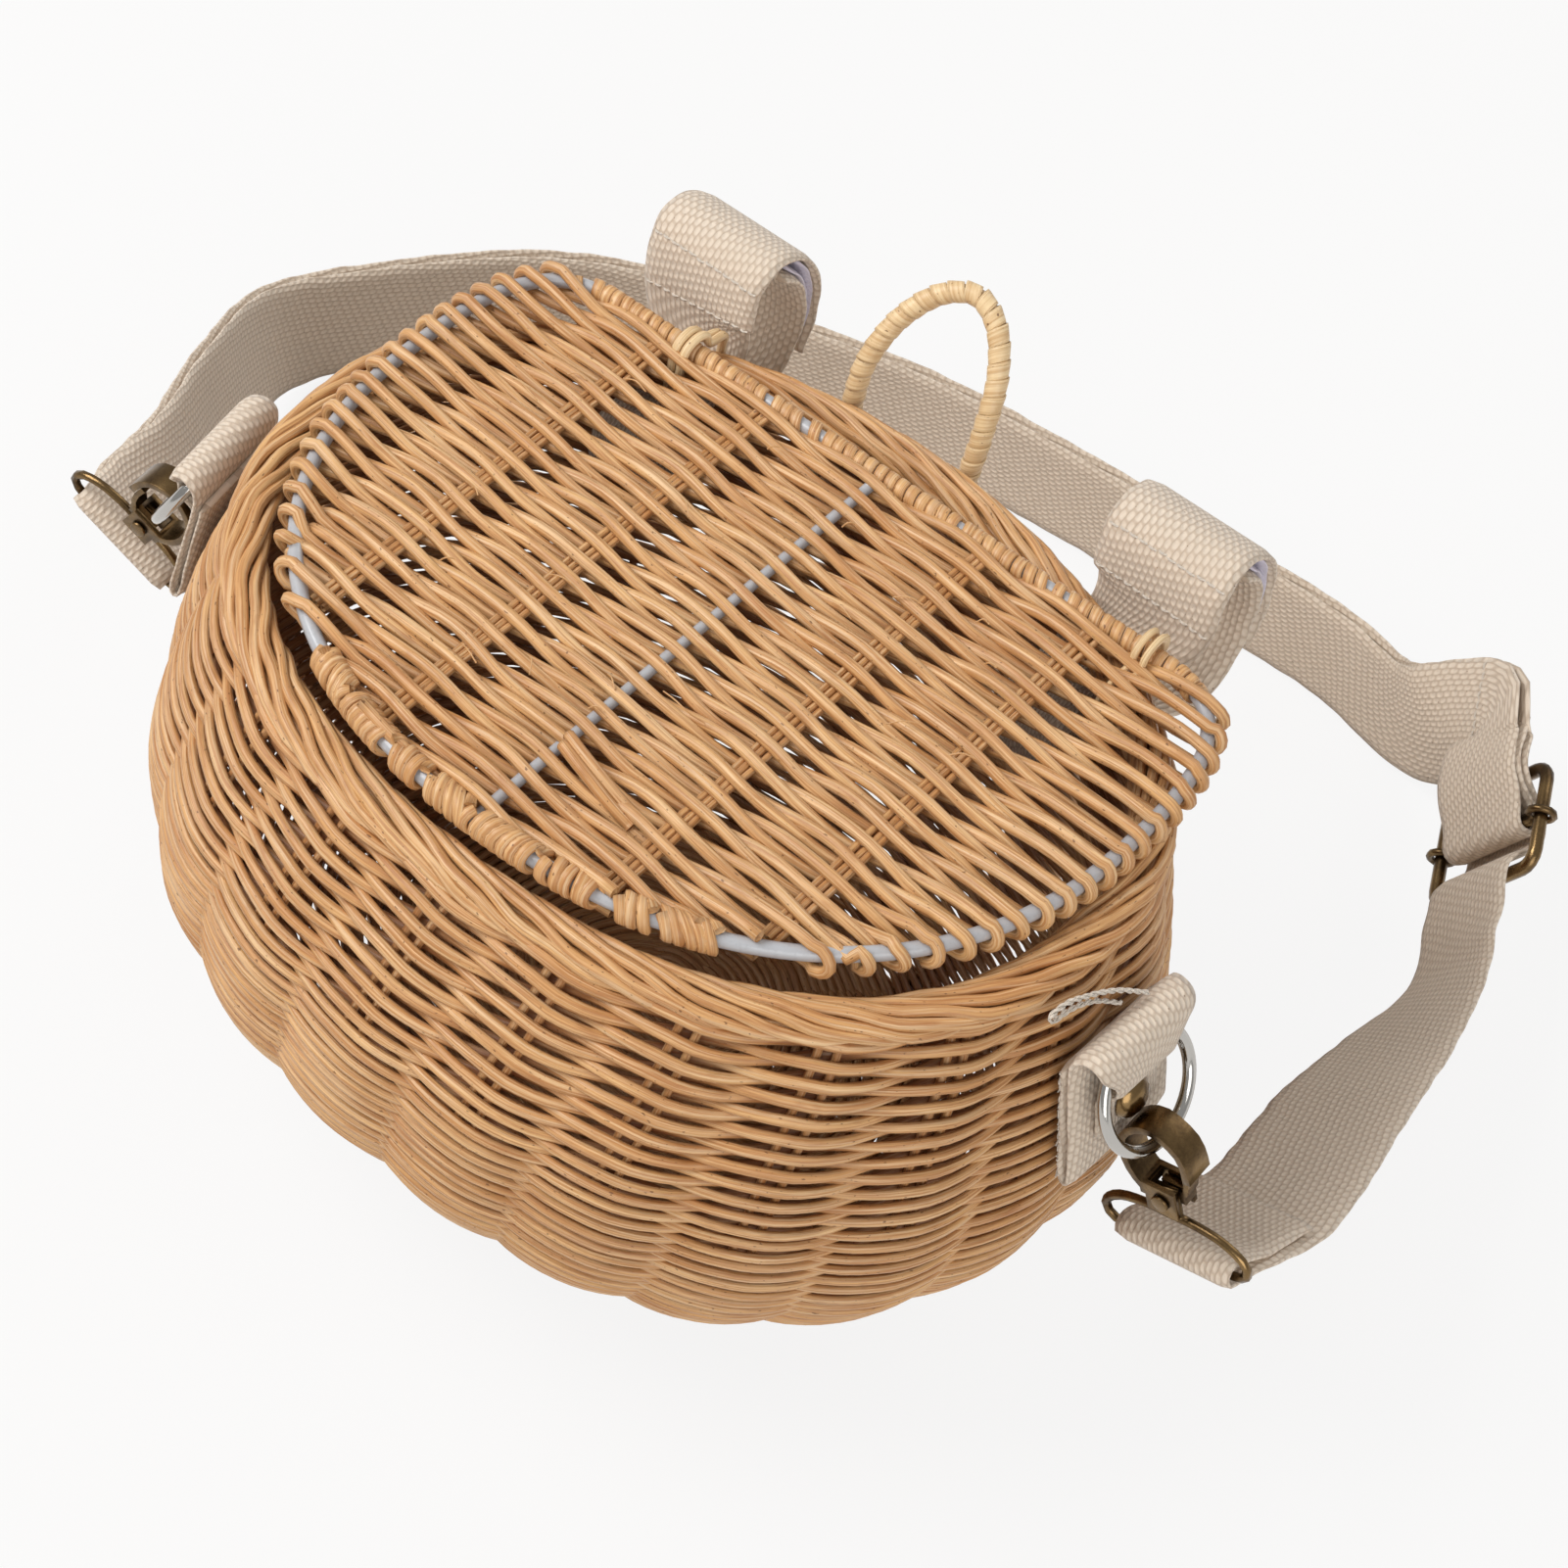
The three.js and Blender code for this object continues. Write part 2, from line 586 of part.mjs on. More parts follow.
// Hanging loop hooked through the back wall
const hangPath = [
  [-29, 5, -24], [-29, 20, -24], [-29, 26.6, -20.5], [-29.2, 27.6, -9], [-29, 31, 5], [-25.5, 39, 18],
  [-18, 46, 27], [-9.5, 48.5, 30], [-1, 46, 27], [6.5, 39, 18], [10, 31, 5], [10.2, 27.6, -9],
  [10, 26.6, -20.5], [10, 20, -24], [10, 5, -24],
].map(([x, y, z]) => V(x, BACK_EDGE + y, RIM_HEIGHT + z));
add('hanging_loop', tube(smooth(hangPath, 34), 3.3, 7), 'pale_cane');
for (const x of [-29, 10]) {
  wallCuts.push(tube([V(x, BACK_EDGE + 2, RIM_HEIGHT - 24), V(x, BACK_EDGE + 20, RIM_HEIGHT - 24),
    V(x, BACK_EDGE + 28, RIM_HEIGHT - 24)], 4.4, 10));
}

// Handlebar straps: closed loops through two slots each, overlapped with hook and loop tapes
const handlePath = [
  [45.2, -24, 1], [49.4, -12, 1], [48.6, 1, 1], [43, 12, 1], [34, 18.6, 1], [26, 19.4, 1], [20.8, 14.5, 1],
  [19.2, 5, 1], [18.8, -4, 0.9], [16.8, -11, 0.5], [12.6, -14.8, 0.12], [7, -15.6, 0], [-8, -15.6, 0],
  [-17, -15.8, 0], [-20.6, -18.6, 0], [-21.5, -26, 0], [-20.6, -33.4, 0], [-17, -36.2, 0], [-8, -36.4, 0],
  [7, -36.4, 0], [14, -36.2, 0.08], [22, -34.4, 0.6], [31, -30, 1], [38.5, -23.5, 1], [43.2, -12.6, 1],
  [42.6, -1, 1], [38.2, 7.6, 1], [31.5, 12.4, 1],
];
function offsetPath(path, amount) {
  const pts = path.map(([y, z]) => V(0, y, z));
  const tan = tangents(pts, false);
  return pts.map((p, i) => {
    const n = V(0, -tan[i].z, tan[i].y);
    const q = p.clone().addScaledVector(n, amount);
    return [q.y, q.z];
  });
}
HANDLE_X.forEach(({ slot, loop }, i) => {
  const side = i === 0 ? 'left' : 'right';
  // The third path value is carried as a length along x: 1 outside, 0 in the slots
  const plain = smooth(handlePath.map(([y, z, k]) => V(k * 8, y, z)), 240);
  const place = (p) => V(slot + (loop - slot) * (p.x / 8), BACK_EDGE + p.y, RIM_HEIGHT + p.z);
  const across = (list) => list.map(() => V(1, 0, 0));
  const main = plain.filter((_, k) => k % 4 === 0);
  const halves = main.map((p) => GATHERED + (WEBBING_WIDTH / 2 - GATHERED) * Math.min(1, Math.max(0, p.x / 8)));
  add(`handlebar_strap_${side}`, band(main.map(place), across(main), halves), 'cotton');
  const flat = plain.map((p) => [p.y, p.z]);
  const tape = (part, amount) => offsetPath(part, amount).filter((_, k) => k % 4 === 0)
    .map(([y, z]) => V(loop, BACK_EDGE + y, RIM_HEIGHT + z));
  const hook = tape(flat.slice(8, 40), 1.9);
  const pile = tape(flat.slice(-34, -3), -1.9);
  add(`hook_tape_${side}`, band(hook, across(hook), 17.5, 1.1), 'hook_tape');
  add(`loop_tape_${side}`, band(pile, across(pile), 17.5, 1.1), 'hook_tape');
});

// Side tabs, rivets and rings, in a frame on the wall: along, down and out
const TABS = [
  { side: 'left', angle: Math.PI + 0.245, level: 0.235 },
  { side: 'right', angle: -0.11, level: 0.235 },
];
const tabPath = [
  [-16, 3.5, 19], [0, 3.5, 19], [22, 3.5, 19], [23.2, 3.9, 19], [23.7, 4.75, 19], [23.2, 5.6, 19], [22, 6.0, 19],
  [0, 6.0, 19], [-18.3, 6.0, 19], [-21.4, 7.3, 19], [-22.8, 10.45, 18.6], [-21.4, 13.6, 18], [-18.3, 14.9, 17],
  [-15, 14.9, 14.5], [-11.5, 14.9, 12], [-8, 14.1, 11.5], [-5.8, 12.0, 11.5], [-4.4, 9.6, 11.5], [-2.2, 8.5, 11.5],
  [3, 8.5, 11.5], [10, 8.5, 11.5],
];
const RING_TILT = (18 * Math.PI) / 180;
const SIDES = {};
for (const { side, angle, level } of TABS) {
  const out = skinNormal(level, angle);
  const origin = skin(level, angle);
  const along = V(0, 0, 1).cross(out).normalize();
  const down = along.clone().cross(out).normalize();
  if (down.z > 0) down.negate();
  const at = frameOf(origin, down, out, along);
  const points = tabPath.map(([s, n]) => at(s, n, 0));
  const hole = turned([[0, -22], [2.75, -22], [2.75, 16], [0, 16]], at(4, 0, 0), out, 16);
  add(`side_tab_${side}`, cut(band(points, points.map(() => along), tabPath.map((p) => p[2])), [hole]), 'cotton');
  wallCuts.push(hole);
  add(`tab_rivet_${side}`, turned([[0, -7.6], [5, -7.6], [5.2, -6.6], [2.35, -6.2], [2.35, 9.75], [6, 9.85],
    [6, 10.4], [4.9, 12], [2.9, 13.1], [0, 13.5]], at(4, 0, 0), out, 16), 'brass');
  const hang = down.clone().multiplyScalar(Math.cos(RING_TILT)).addScaledVector(out, Math.sin(RING_TILT));
  const top = at(-17.3, 9.9, 0);
  const centre = top.clone().addScaledVector(hang, RING_RADIUS);
  const ring = Array.from({ length: 26 }, (_, k) => {
    const q = (k / 26) * 2 * Math.PI;
    return centre.clone().addScaledVector(along, RING_RADIUS * Math.sin(q))
      .addScaledVector(hang, -RING_RADIUS * Math.cos(q));
  });
  add(`tab_ring_${side}`, tube(ring, RING_WIRE, 8, true), 'chrome');
  SIDES[side] = { top, centre, along, hang, bottom: centre.clone().addScaledVector(hang, RING_RADIUS) };
}
add('woven_wall', cut(wall, wallCuts), 'rattan');

// Trigger clasps: band claw, spring gate, pin and wire loop for the webbing
function unit(x, y, z) {
  return V(x, y, z).normalize();
}
const CLASPS = [
  { side: 'left', a: unit(-0.72, -0.12, 0.62), b: unit(0.53, 0.02, 0.82) },
  { side: 'right', a: unit(0.934, -0.03, 0.345), b: unit(-0.35, -0.05, 0.94) },
];
for (const clasp of CLASPS) {
  const b = clasp.b;
  const a = clasp.a.clone().sub(b.clone().multiplyScalar(clasp.a.dot(b))).normalize();
  const c = a.clone().cross(b).normalize();
  const grip = SIDES[clasp.side].bottom;
  const pin = grip.clone().addScaledVector(b, -18.4);
  const at = frameOf(pin, a, b, c);
  const flatBand = (path, half, thickness) => {
    const points = path.map(([x, y]) => at(x, y, 0));
    return band(points, points.map(() => c), half, thickness);
  };
  const arc = smooth([[-5.0, 2.4], [-8.0, 6], [-9.6, 12.5], [-7.8, 20], [0, 24.6], [7.8, 20], [9.5, 13.2], [9.5, 11.4]]
    .map(([x, y]) => V(x, y, 0)), 16).map((p) => [p.x, p.y]);
  const cheek = (lo, hi) => block([-4.6, -4.4, lo], [4.4, 4.4, hi], at);
  const pinHole = turned([[0, -9], [1.75, -9], [1.75, 9], [0, 9]], pin, c, 14);
  const claw = join([flatBand(arc, 4.2, 2), cheek(-4.2, -2.75), cheek(2.75, 4.2),
    block([-6, 0.5, -4.2], [-4.4, 4.4, 4.2], at)], [pinHole]);
  add(`clasp_claw_${clasp.side}`, claw, 'brass');
  const gateArm = flatBand([[5.0, 2.2], [6.6, 4.6], [7.3, 8], [7.2, 12.4]], 2.3, 1.6);
  const gate = join([gateArm, block([-2.6, -2.8, -2.35], [3.2, 2.8, -0.25], at),
    block([2.4, -0.6, -2.35], [5.6, 2.8, -0.25], at), block([4.7, 0.6, -2.3], [6.4, 2.9, 2.3], at)], [pinHole]);
  add(`clasp_gate_${clasp.side}`, gate, 'brass');
  add(`clasp_pin_${clasp.side}`, turned([[0, -5.2], [2.3, -5.2], [2.5, -4.5], [1.4, -4.5], [1.4, 4.5], [2.5, 4.5],
    [2.3, 5.2], [0, 5.2]], pin, c, 12), 'brass');
  const wire = smooth([[0, -7.2], [8, -7.3], [16, -9.2], [21, -13.5], [21, -17.6], [18, -19.8], [9, -19.8],
    [0, -19.8], [-9, -19.8], [-18, -19.8], [-21, -17.6], [-21, -13.5], [-16, -9.2], [-8, -7.3]]
    .map(([x, y]) => V(x, y, 0)), 36, true).map((p) => at(p.x, p.y, 1.3));
  const eye = block([-3.1, -7.6, 0.25], [3.1, 2.6, 2.35], at);
  add(`clasp_loop_${clasp.side}`, join([tube(wire, LOOP_WIRE, 6, true), eye], [pinHole]), 'brass');
  clasp.bar = at(0, -19.8, 1.3);
  Object.assign(clasp, { a, b, c, pin });
}

// Slider: wire frame with a loose centre bar whose ends curl round the frame sides
const SLIDER = V(153, BACK_EDGE + 129, RIM_HEIGHT - 132);
const sliderUp = unit(0.47, 0, 0.88);
let sliderRun = unit(0.42, -0.88, -0.22);
sliderRun = sliderRun.sub(sliderUp.clone().multiplyScalar(sliderRun.dot(sliderUp))).normalize();
// Side of the slider that faces the basket
const sliderIn = sliderUp.clone().cross(sliderRun).normalize();
if (sliderIn.x > 0) sliderIn.negate();
const atSlider = frameOf(SLIDER, sliderUp, sliderRun, sliderIn);
const SLIDER_HALF = 23.4;
const END_BAR = 16.5;
const frameWire = [];
for (const [cx, cy, start] of [[1, 1, 0], [-1, 1, 1], [-1, -1, 2], [1, -1, 3]]) {
  for (let k = 0; k <= 4; k += 1) {
    const q = ((start + k / 4) * Math.PI) / 2;
    frameWire.push(atSlider(cx * (SLIDER_HALF - 5) + 5 * Math.cos(q), cy * (END_BAR - 5) + 5 * Math.sin(q), 0));
  }
}
add('slider_frame', tube(frameWire, 2.1, 8, true), 'brass');
const curls = [-1, 1].map((s) => {
  const centre = atSlider(s * SLIDER_HALF, 0, 0);
  return tube(Array.from({ length: 12 }, (_, k) => {
    const q = (k / 12) * 2 * Math.PI;
    return centre.clone().addScaledVector(sliderUp, 3.75 * Math.cos(q)).addScaledVector(sliderIn, 3.75 * Math.sin(q));
  }), 1.2, 6, true);
});
const sliderBar = tube([atSlider(-19.7, 0, 0), atSlider(0, 0, 0), atSlider(19.7, 0, 0)], 2, 8);
add('slider_bar', join([sliderBar, ...curls]), 'brass');

// Shoulder strap: sewn round the slider bar, back to the left clasp, forward again through
// the slider and on to the right clasp
const floorZ = -150.1;
const rear = [
  [-250, 36, -146, 0.1], [-234, 77, floorZ, 0.06], [-208, 113, floorZ, 0], [-182, 131, floorZ, 0],
  [-128, 149, floorZ, 0], [-80, 162, floorZ, 0], [-26, 168, floorZ, 0], [30, 171, floorZ, 0],
  [75, 172, floorZ, 0.02], [104, 166, -149.5, 0.12],
];
const left = CLASPS[0];
const right = CLASPS[1];
const stations = [];
const local = (v) => V(v.x, v.y, v.z);
function station(p, w) {
  stations.push({ p: local(p), w: w.clone().normalize() });
}
station(left.bar.clone().add(unit(-0.38, 0.82, -0.42).multiplyScalar(14)), left.a.clone());
station(V(-200, BACK_EDGE - 56, RIM_HEIGHT - 104), unit(-0.5, -0.1, 0.8));
station(V(-230, BACK_EDGE - 12, RIM_HEIGHT - 126), unit(-0.3, 0, 0.93));
for (const [x, y, z, lean] of rear) station(V(x, BACK_EDGE + y, RIM_HEIGHT + z), V(lean * x / 100, 0, 1));
station(atSlider(0, -30, 5), sliderUp);
station(atSlider(0, -18.5, 6.2), sliderUp);

const centreCurve = new THREE.CatmullRomCurve3(stations.map((s) => s.p), false, 'centripetal');
const widthCurve = new THREE.CatmullRomCurve3(stations.map((s) => s.w), false, 'centripetal');
const LAPS = 64;
const run = [];
for (let i = 0; i <= LAPS; i += 1) {
  const t = i / LAPS;
  const p = centreCurve.getPoint(t);
  const d = centreCurve.getTangent(t);
  let w = widthCurve.getPoint(t).normalize();
  w = w.sub(d.clone().multiplyScalar(w.dot(d))).normalize();
  // Points towards the basket along the back run
  const n = d.clone().cross(w).normalize();
  run.push({ p, d, w, n });
}
// Sign that makes the normal point at the basket
const middle = run[Math.floor(LAPS / 2)];
const sign = middle.n.dot(V(0, -1, 0)) > 0 ? 1 : -1;
for (const s of run) s.n.multiplyScalar(sign);

const strapPoints = [];
const strapWidths = [];
const strapHalves = [];
const FULL = WEBBING_WIDTH / 2;
const SQUEEZED = 18.1;
const FOLDED = 17.4;
function push(p, w, half = FULL) {
  strapPoints.push(p);
  strapWidths.push(w.clone());
  strapHalves.push(half);
}
const atBar = (rows) => rows.forEach(([d, n, h]) => push(atSlider(0, d, n), sliderUp, h ?? SQUEEZED));
const spread = 1.75;
// Fold round a clasp bar: width a, away is the way the webbing leaves, lift the side it arrives on
function fold(bar, a, away, lift) {
  push(bar.clone().addScaledVector(away, 9).addScaledVector(lift, 2.2), a, FOLDED);
  push(bar.clone().addScaledVector(away, 4.5).addScaledVector(lift, 2.6), a, FOLDED);
  for (const q of [90, 60, 30, 0, -30, -60, -90]) {
    const e = (q * Math.PI) / 180;
    push(bar.clone().addScaledVector(lift, 2.8 * Math.sin(e)).addScaledVector(away, -2.8 * Math.cos(e)), a, FOLDED);
  }
  push(bar.clone().addScaledVector(away, 4.5).addScaledVector(lift, -2.6), a, FOLDED);
}
// Sewn tail, between the runs, then the fold round the slider bar
atBar([[-32, 5.9], [-26, 6.4], [-20, 6.9], [-16, 6.5], [-12, 4.9], [-8, 1.6], [-4.2, -1.9], [-1.5, -3.3], [0.6, -3.5],
  [2.6, -2.6], [3.6, 0], [2.6, 2.6], [0.3, 3.6], [-3, 4.0], [-6, 4.9], [-10, 6.6], [-14, 8.3], [-20, 9.3], [-28, 8.9],
  [-35, 8.4, FULL]]);
const cleared = run.filter((s) => s.p.distanceTo(SLIDER) > 46 && s.p.distanceTo(left.bar) > 16);
for (const s of [...cleared].reverse()) push(s.p.clone().addScaledVector(s.n, spread), s.w);
// Fold round the left clasp bar
const lead = cleared[0];
const leftAway = lead.p.clone().sub(left.bar);
leftAway.sub(left.a.clone().multiplyScalar(leftAway.dot(left.a))).normalize();
const leftLift = left.a.clone().cross(leftAway).normalize();
if (leftLift.dot(lead.n) < 0) leftLift.negate();
const leftWide = left.a.clone().multiplyScalar(Math.sign(left.a.dot(lead.w)) || 1);
fold(left.bar, leftWide, leftAway, leftLift);
push(left.bar.clone().addScaledVector(leftAway, 9).addScaledVector(leftLift, -2.2), leftWide, FOLDED);
for (const s of cleared) push(s.p.clone().addScaledVector(s.n, -spread), s.w);
// Through the slider: over the first end bar, behind the sewn fold, over the second end bar
atBar([[-36, 3.3, FULL], [-28, 3.7], [-22, 4.1], [-16.5, 4.1], [-12.5, 2.3], [-9, -0.8], [-5, -4.4], [0, -6.0],
  [5, -5.6], [9, -2.2], [12.5, 2.0], [16.5, 4.6], [22, 4.9], [28, 4.9, FULL]]);
// Single run to the right clasp
const rightAway = unit(-0.12, 0.9, -0.42);
rightAway.sub(right.a.clone().multiplyScalar(rightAway.dot(right.a))).normalize();
const rightLift = rightAway.clone().cross(right.a).normalize();
if (rightLift.z > 0) rightLift.negate();
const rightEnd = right.bar.clone().addScaledVector(rightAway, 16).addScaledVector(rightLift, 1.9);
const bridge = new THREE.CatmullRomCurve3([
  atSlider(0, 28, 4.6), atSlider(0, 46, 6), V(171, BACK_EDGE + 52, RIM_HEIGHT - 133),
  V(174, BACK_EDGE + 8, RIM_HEIGHT - 117), rightEnd.clone().addScaledVector(rightAway, 24), rightEnd,
], false, 'centripetal');
const bridgeWidth = new THREE.CatmullRomCurve3([
  sliderUp, sliderUp, unit(0.72, 0.05, 0.69), unit(0.86, 0.2, 0.42), right.a, right.a,
], false, 'centripetal');
for (let i = 1; i <= 22; i += 1) push(bridge.getPoint(i / 22), bridgeWidth.getPoint(i / 22).normalize());
fold(right.bar, right.a, rightAway, rightLift);
for (const [d, n] of [[9, -1.6], [16, -0.5], [34, -0.5]]) {
  push(right.bar.clone().addScaledVector(rightAway, d).addScaledVector(rightLift, n), right.a, FOLDED);
}
add('shoulder_strap', band(strapPoints, strapWidths, strapHalves), 'cotton');

export default group;
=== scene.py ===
"""Looks of a half-round wicker bicycle basket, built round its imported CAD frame.

Lengths are written in millimetres and turned to metres where a mesh is made.
"""

import json
import logging
import math
from dataclasses import dataclass
from enum import Enum
from typing import Any, Iterable, Sequence

import bmesh
import bpy
import numpy as np
from mathutils import Matrix, Vector

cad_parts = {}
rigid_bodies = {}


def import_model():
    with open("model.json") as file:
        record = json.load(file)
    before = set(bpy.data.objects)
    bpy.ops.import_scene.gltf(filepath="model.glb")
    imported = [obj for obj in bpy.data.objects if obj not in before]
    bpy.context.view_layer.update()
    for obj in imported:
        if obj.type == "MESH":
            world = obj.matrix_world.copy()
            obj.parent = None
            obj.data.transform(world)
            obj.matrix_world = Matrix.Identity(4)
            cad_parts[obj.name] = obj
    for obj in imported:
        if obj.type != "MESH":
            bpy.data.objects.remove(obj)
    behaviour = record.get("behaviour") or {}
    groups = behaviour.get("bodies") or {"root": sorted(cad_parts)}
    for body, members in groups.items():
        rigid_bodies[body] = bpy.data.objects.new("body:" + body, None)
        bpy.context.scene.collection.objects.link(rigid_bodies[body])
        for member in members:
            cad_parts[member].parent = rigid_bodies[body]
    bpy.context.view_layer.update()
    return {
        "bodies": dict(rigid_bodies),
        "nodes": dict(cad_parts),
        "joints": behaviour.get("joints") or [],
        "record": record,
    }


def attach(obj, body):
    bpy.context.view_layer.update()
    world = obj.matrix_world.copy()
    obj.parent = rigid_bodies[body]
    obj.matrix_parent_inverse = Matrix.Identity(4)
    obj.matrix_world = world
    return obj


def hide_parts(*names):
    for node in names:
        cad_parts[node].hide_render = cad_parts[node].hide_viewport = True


MM = 0.001
LOG = logging.getLogger("basket")
SEED = 41
TIP_BULGE = 0.4

Colour = tuple[float, float, float, float]


class Slot(Enum):
    """Material slots of the record."""

    RATTAN = "rattan"
    PALE_CANE = "pale_cane"
    WIRE = "coated_wire"
    COTTON = "cotton"
    TAPE = "hook_tape"
    BRASS = "brass"
    CHROME = "chrome"


class Side(Enum):
    """The two ends of the basket, named from in front."""

    LEFT = "left"
    RIGHT = "right"


TAB_LEVEL = 0.235
TAB_ANGLES = {Side.LEFT: math.pi + 0.245, Side.RIGHT: -0.11}


def linear(red: float, green: float, blue: float) -> Colour:
    """Turns a screen colour into a scene colour.

    Args:
        red, green, blue: The colour from 0 to 255.

    Returns:
        The linear colour with full alpha.
    """
    parts = []
    for part in (red, green, blue):
        share = part / 255
        parts.append(share / 12.92 if share <= 0.04045 else ((share + 0.055) / 1.055) ** 2.4)
    return (parts[0], parts[1], parts[2], 1.0)


def unit(vectors: np.ndarray) -> np.ndarray:
    """Scales vectors to length one.

    Args:
        vectors: One vector, or rows of vectors.

    Returns:
        The same vectors with length one.
    """
    vectors = np.asarray(vectors, float)
    return vectors / np.maximum(np.linalg.norm(vectors, axis=-1, keepdims=True), 1e-12)


def ripple(rng: np.random.Generator, along: np.ndarray, size: float, wave: float) -> np.ndarray:
    """Makes a smooth random wander along a piece.

    Args:
        rng: The seeded source of the wander.
        along: Places along the piece.
        size: How far it wanders.
        wave: The usual distance between two swings.

    Returns:
        The wander at each place.
    """
    total = np.zeros_like(along, dtype=float)
    for factor in (0.6, 1.0, 1.7):
        total += np.sin(along * 2 * math.pi / (wave * factor) + rng.uniform(0, 2 * math.pi))
    return total * size / 1.8


def smooth_path(points: Sequence[Sequence[float]], count: int, closed: bool = False) -> np.ndarray:
    """Runs a centripetal curve through points and spaces it evenly.

    Args:
        points: The points that the curve passes through.
        count: The number of steps along the curve.
        closed: Whether the end joins the start.

    Returns:
        count points if closed, otherwise count + 1 points.
    """
    given = np.asarray(points, float)
    total = len(given)
    parts = []
    for i in range(total if closed else total - 1):
        if closed:
            p0, p1, p2, p3 = (given[(i + k) % total] for k in (-1, 0, 1, 2))
        else:
            p1, p2 = given[i], given[i + 1]
            p0 = given[i - 1] if i else 2 * p1 - p2
            p3 = given[i + 2] if i + 2 < total else 2 * p2 - p1
        gaps = [max(math.sqrt(np.linalg.norm(b - a)), 1e-2) for a, b in ((p0, p1), (p1, p2), (p2, p3))]
        start = ((p1 - p0) / gaps[0] - (p2 - p0) / (gaps[0] + gaps[1]) + (p2 - p1) / gaps[1]) * gaps[1]
        end = ((p2 - p1) / gaps[1] - (p3 - p1) / (gaps[1] + gaps[2]) + (p3 - p2) / gaps[2]) * gaps[1]
        t = np.linspace(0, 1, 16, endpoint=False)[:, None]
        parts.append(p1 + start * t + (3 * (p2 - p1) - 2 * start - end) * t ** 2
                     + (2 * (p1 - p2) + start + end) * t ** 3)
    fine = np.vstack([*parts, given[:1] if closed else given[-1:]])
    reach = distance_along(fine)
    spaced = read_along(fine, reach, np.linspace(0, reach[-1], count + 1))
    return spaced[:-1] if closed else spaced


def directions(points: np.ndarray, closed: bool = False) -> np.ndarray:
    """Finds the way that a path runs at each point.

    Args:
        points: The path.
        closed: Whether the end joins the start.

    Returns:
        One unit vector for each point.
    """
    if closed:
        return unit(np.roll(points, -1, axis=0) - np.roll(points, 1, axis=0))
    return unit(np.gradient(points, axis=0))


def distance_along(points: np.ndarray) -> np.ndarray:
    """Adds up the length of a path.

    Args:
        points: The path.

    Returns:
        The length from the start to each point.
    """
    return np.concatenate([[0], np.cumsum(np.linalg.norm(np.diff(points, axis=0), axis=1))])


def read_along(values: np.ndarray, reach: np.ndarray, wanted: np.ndarray) -> np.ndarray:
    """Reads what belongs to the points of a path at any length along it.

    Args:
        values: One row for each point of the path.
        reach: The length from the start to each point.
        wanted: The lengths to read at.

    Returns:
        One row for each wanted length.
    """
    return np.column_stack([np.interp(wanted, reach, column) for column in values.T])


def transported(points: np.ndarray, closed: bool) -> np.ndarray:
    """Carries one sideways direction along a path without twisting it.

    Args:
        points: The path.
        closed: Whether the end joins the start.

    Returns:
        One unit vector across the path for each point.
    """
    ways = directions(points, closed)
    side = np.array([0.0, 0, 1]) if abs(ways[0][2]) < 0.9 else np.array([1.0, 0, 0])
    sides = []
    for way in ways:
        side = unit(side - way * side.dot(way))
        sides.append(side)
    if closed:
        end = unit(side - ways[0] * side.dot(ways[0]))
        twist = math.atan2(ways[0].dot(np.cross(end, sides[0])), end.dot(sides[0]))
        for i, way in enumerate(ways):
            turn = twist * i / len(ways)
            sides[i] = sides[i] * math.cos(turn) + np.cross(way, sides[i]) * math.sin(turn)
    return np.array(sides)


@dataclass
class Strand:
    """One rod, cane or wire: its centre line, half width, flatness, squareness, tone and painted shade."""

    points: np.ndarray
    radius: Any
    closed: bool = False
    tone: float = 0.5
    flat: Any = 1.0
    up: np.ndarray | None = None
    start: float = 0.0
    square: float = 1.0
    # Painted shade: how far the strand's colour is darkened toward the finish's inner colour.
    painted_shade: Any = 0.0

    def rings(self, sides: int) -> tuple[np.ndarray, np.ndarray, np.ndarray]:
        """Puts a ring of points round each centre point.

        Args:
            sides: The number of points in a ring.

        Returns:
            The rings, the way along at each ring and the length up to each ring.
        """
        way = directions(self.points, self.closed)
        up = transported(self.points, self.closed) if self.up is None else self.up
        wide = unit(np.cross(way, up))
        thick = np.cross(wide, way)
        radius = np.broadcast_to(np.asarray(self.radius, float), (len(self.points),))[:, None, None]
        flat = np.broadcast_to(np.asarray(self.flat, float), (len(self.points),))[:, None, None]
        turn = (np.arange(sides) + 0.5) / sides * 2 * math.pi
        c, s = (np.sign(x) * np.abs(x) ** self.square for x in (np.cos(turn), np.sin(turn)))
        across = c[None, :, None] * wide[:, None] + flat * s[None, :, None] * thick[:, None]
        return self.points[:, None] + radius * across, way, distance_along(self.points)


def add_mesh(name: str, corners: np.ndarray, faces: list[Sequence[int]], pattern: np.ndarray,
             shades: dict[str, np.ndarray] | None = None) -> bpy.types.Object:
    """Makes a smooth mesh object at the origin.

    Args:
        name: The piece's name.
        corners: The vertices in millimetres.
        faces: The vertex numbers of each face.
        pattern: Pattern coordinates for each face corner, in millimetres.
        shades: Named numbers, one for each vertex, such as the tone and the painted shade.

    Returns:
        The new object.
    """
    mesh = bpy.data.meshes.new(name)
    mesh.from_pydata((corners * MM).tolist(), [], faces)
    mesh.polygons.foreach_set("use_smooth", [True] * len(mesh.polygons))
    layer = mesh.uv_layers.new(name="pattern")
    layer.data.foreach_set("uv", pattern.astype(np.float32).ravel())
    for title, values in (shades or {}).items():
        layer = mesh.attributes.new(title, "FLOAT", "POINT")
        layer.data.foreach_set("value", values.astype(np.float32))
    mesh.update()
    made = bpy.data.objects.new(name, mesh)
    bpy.context.scene.collection.objects.link(made)
    return made


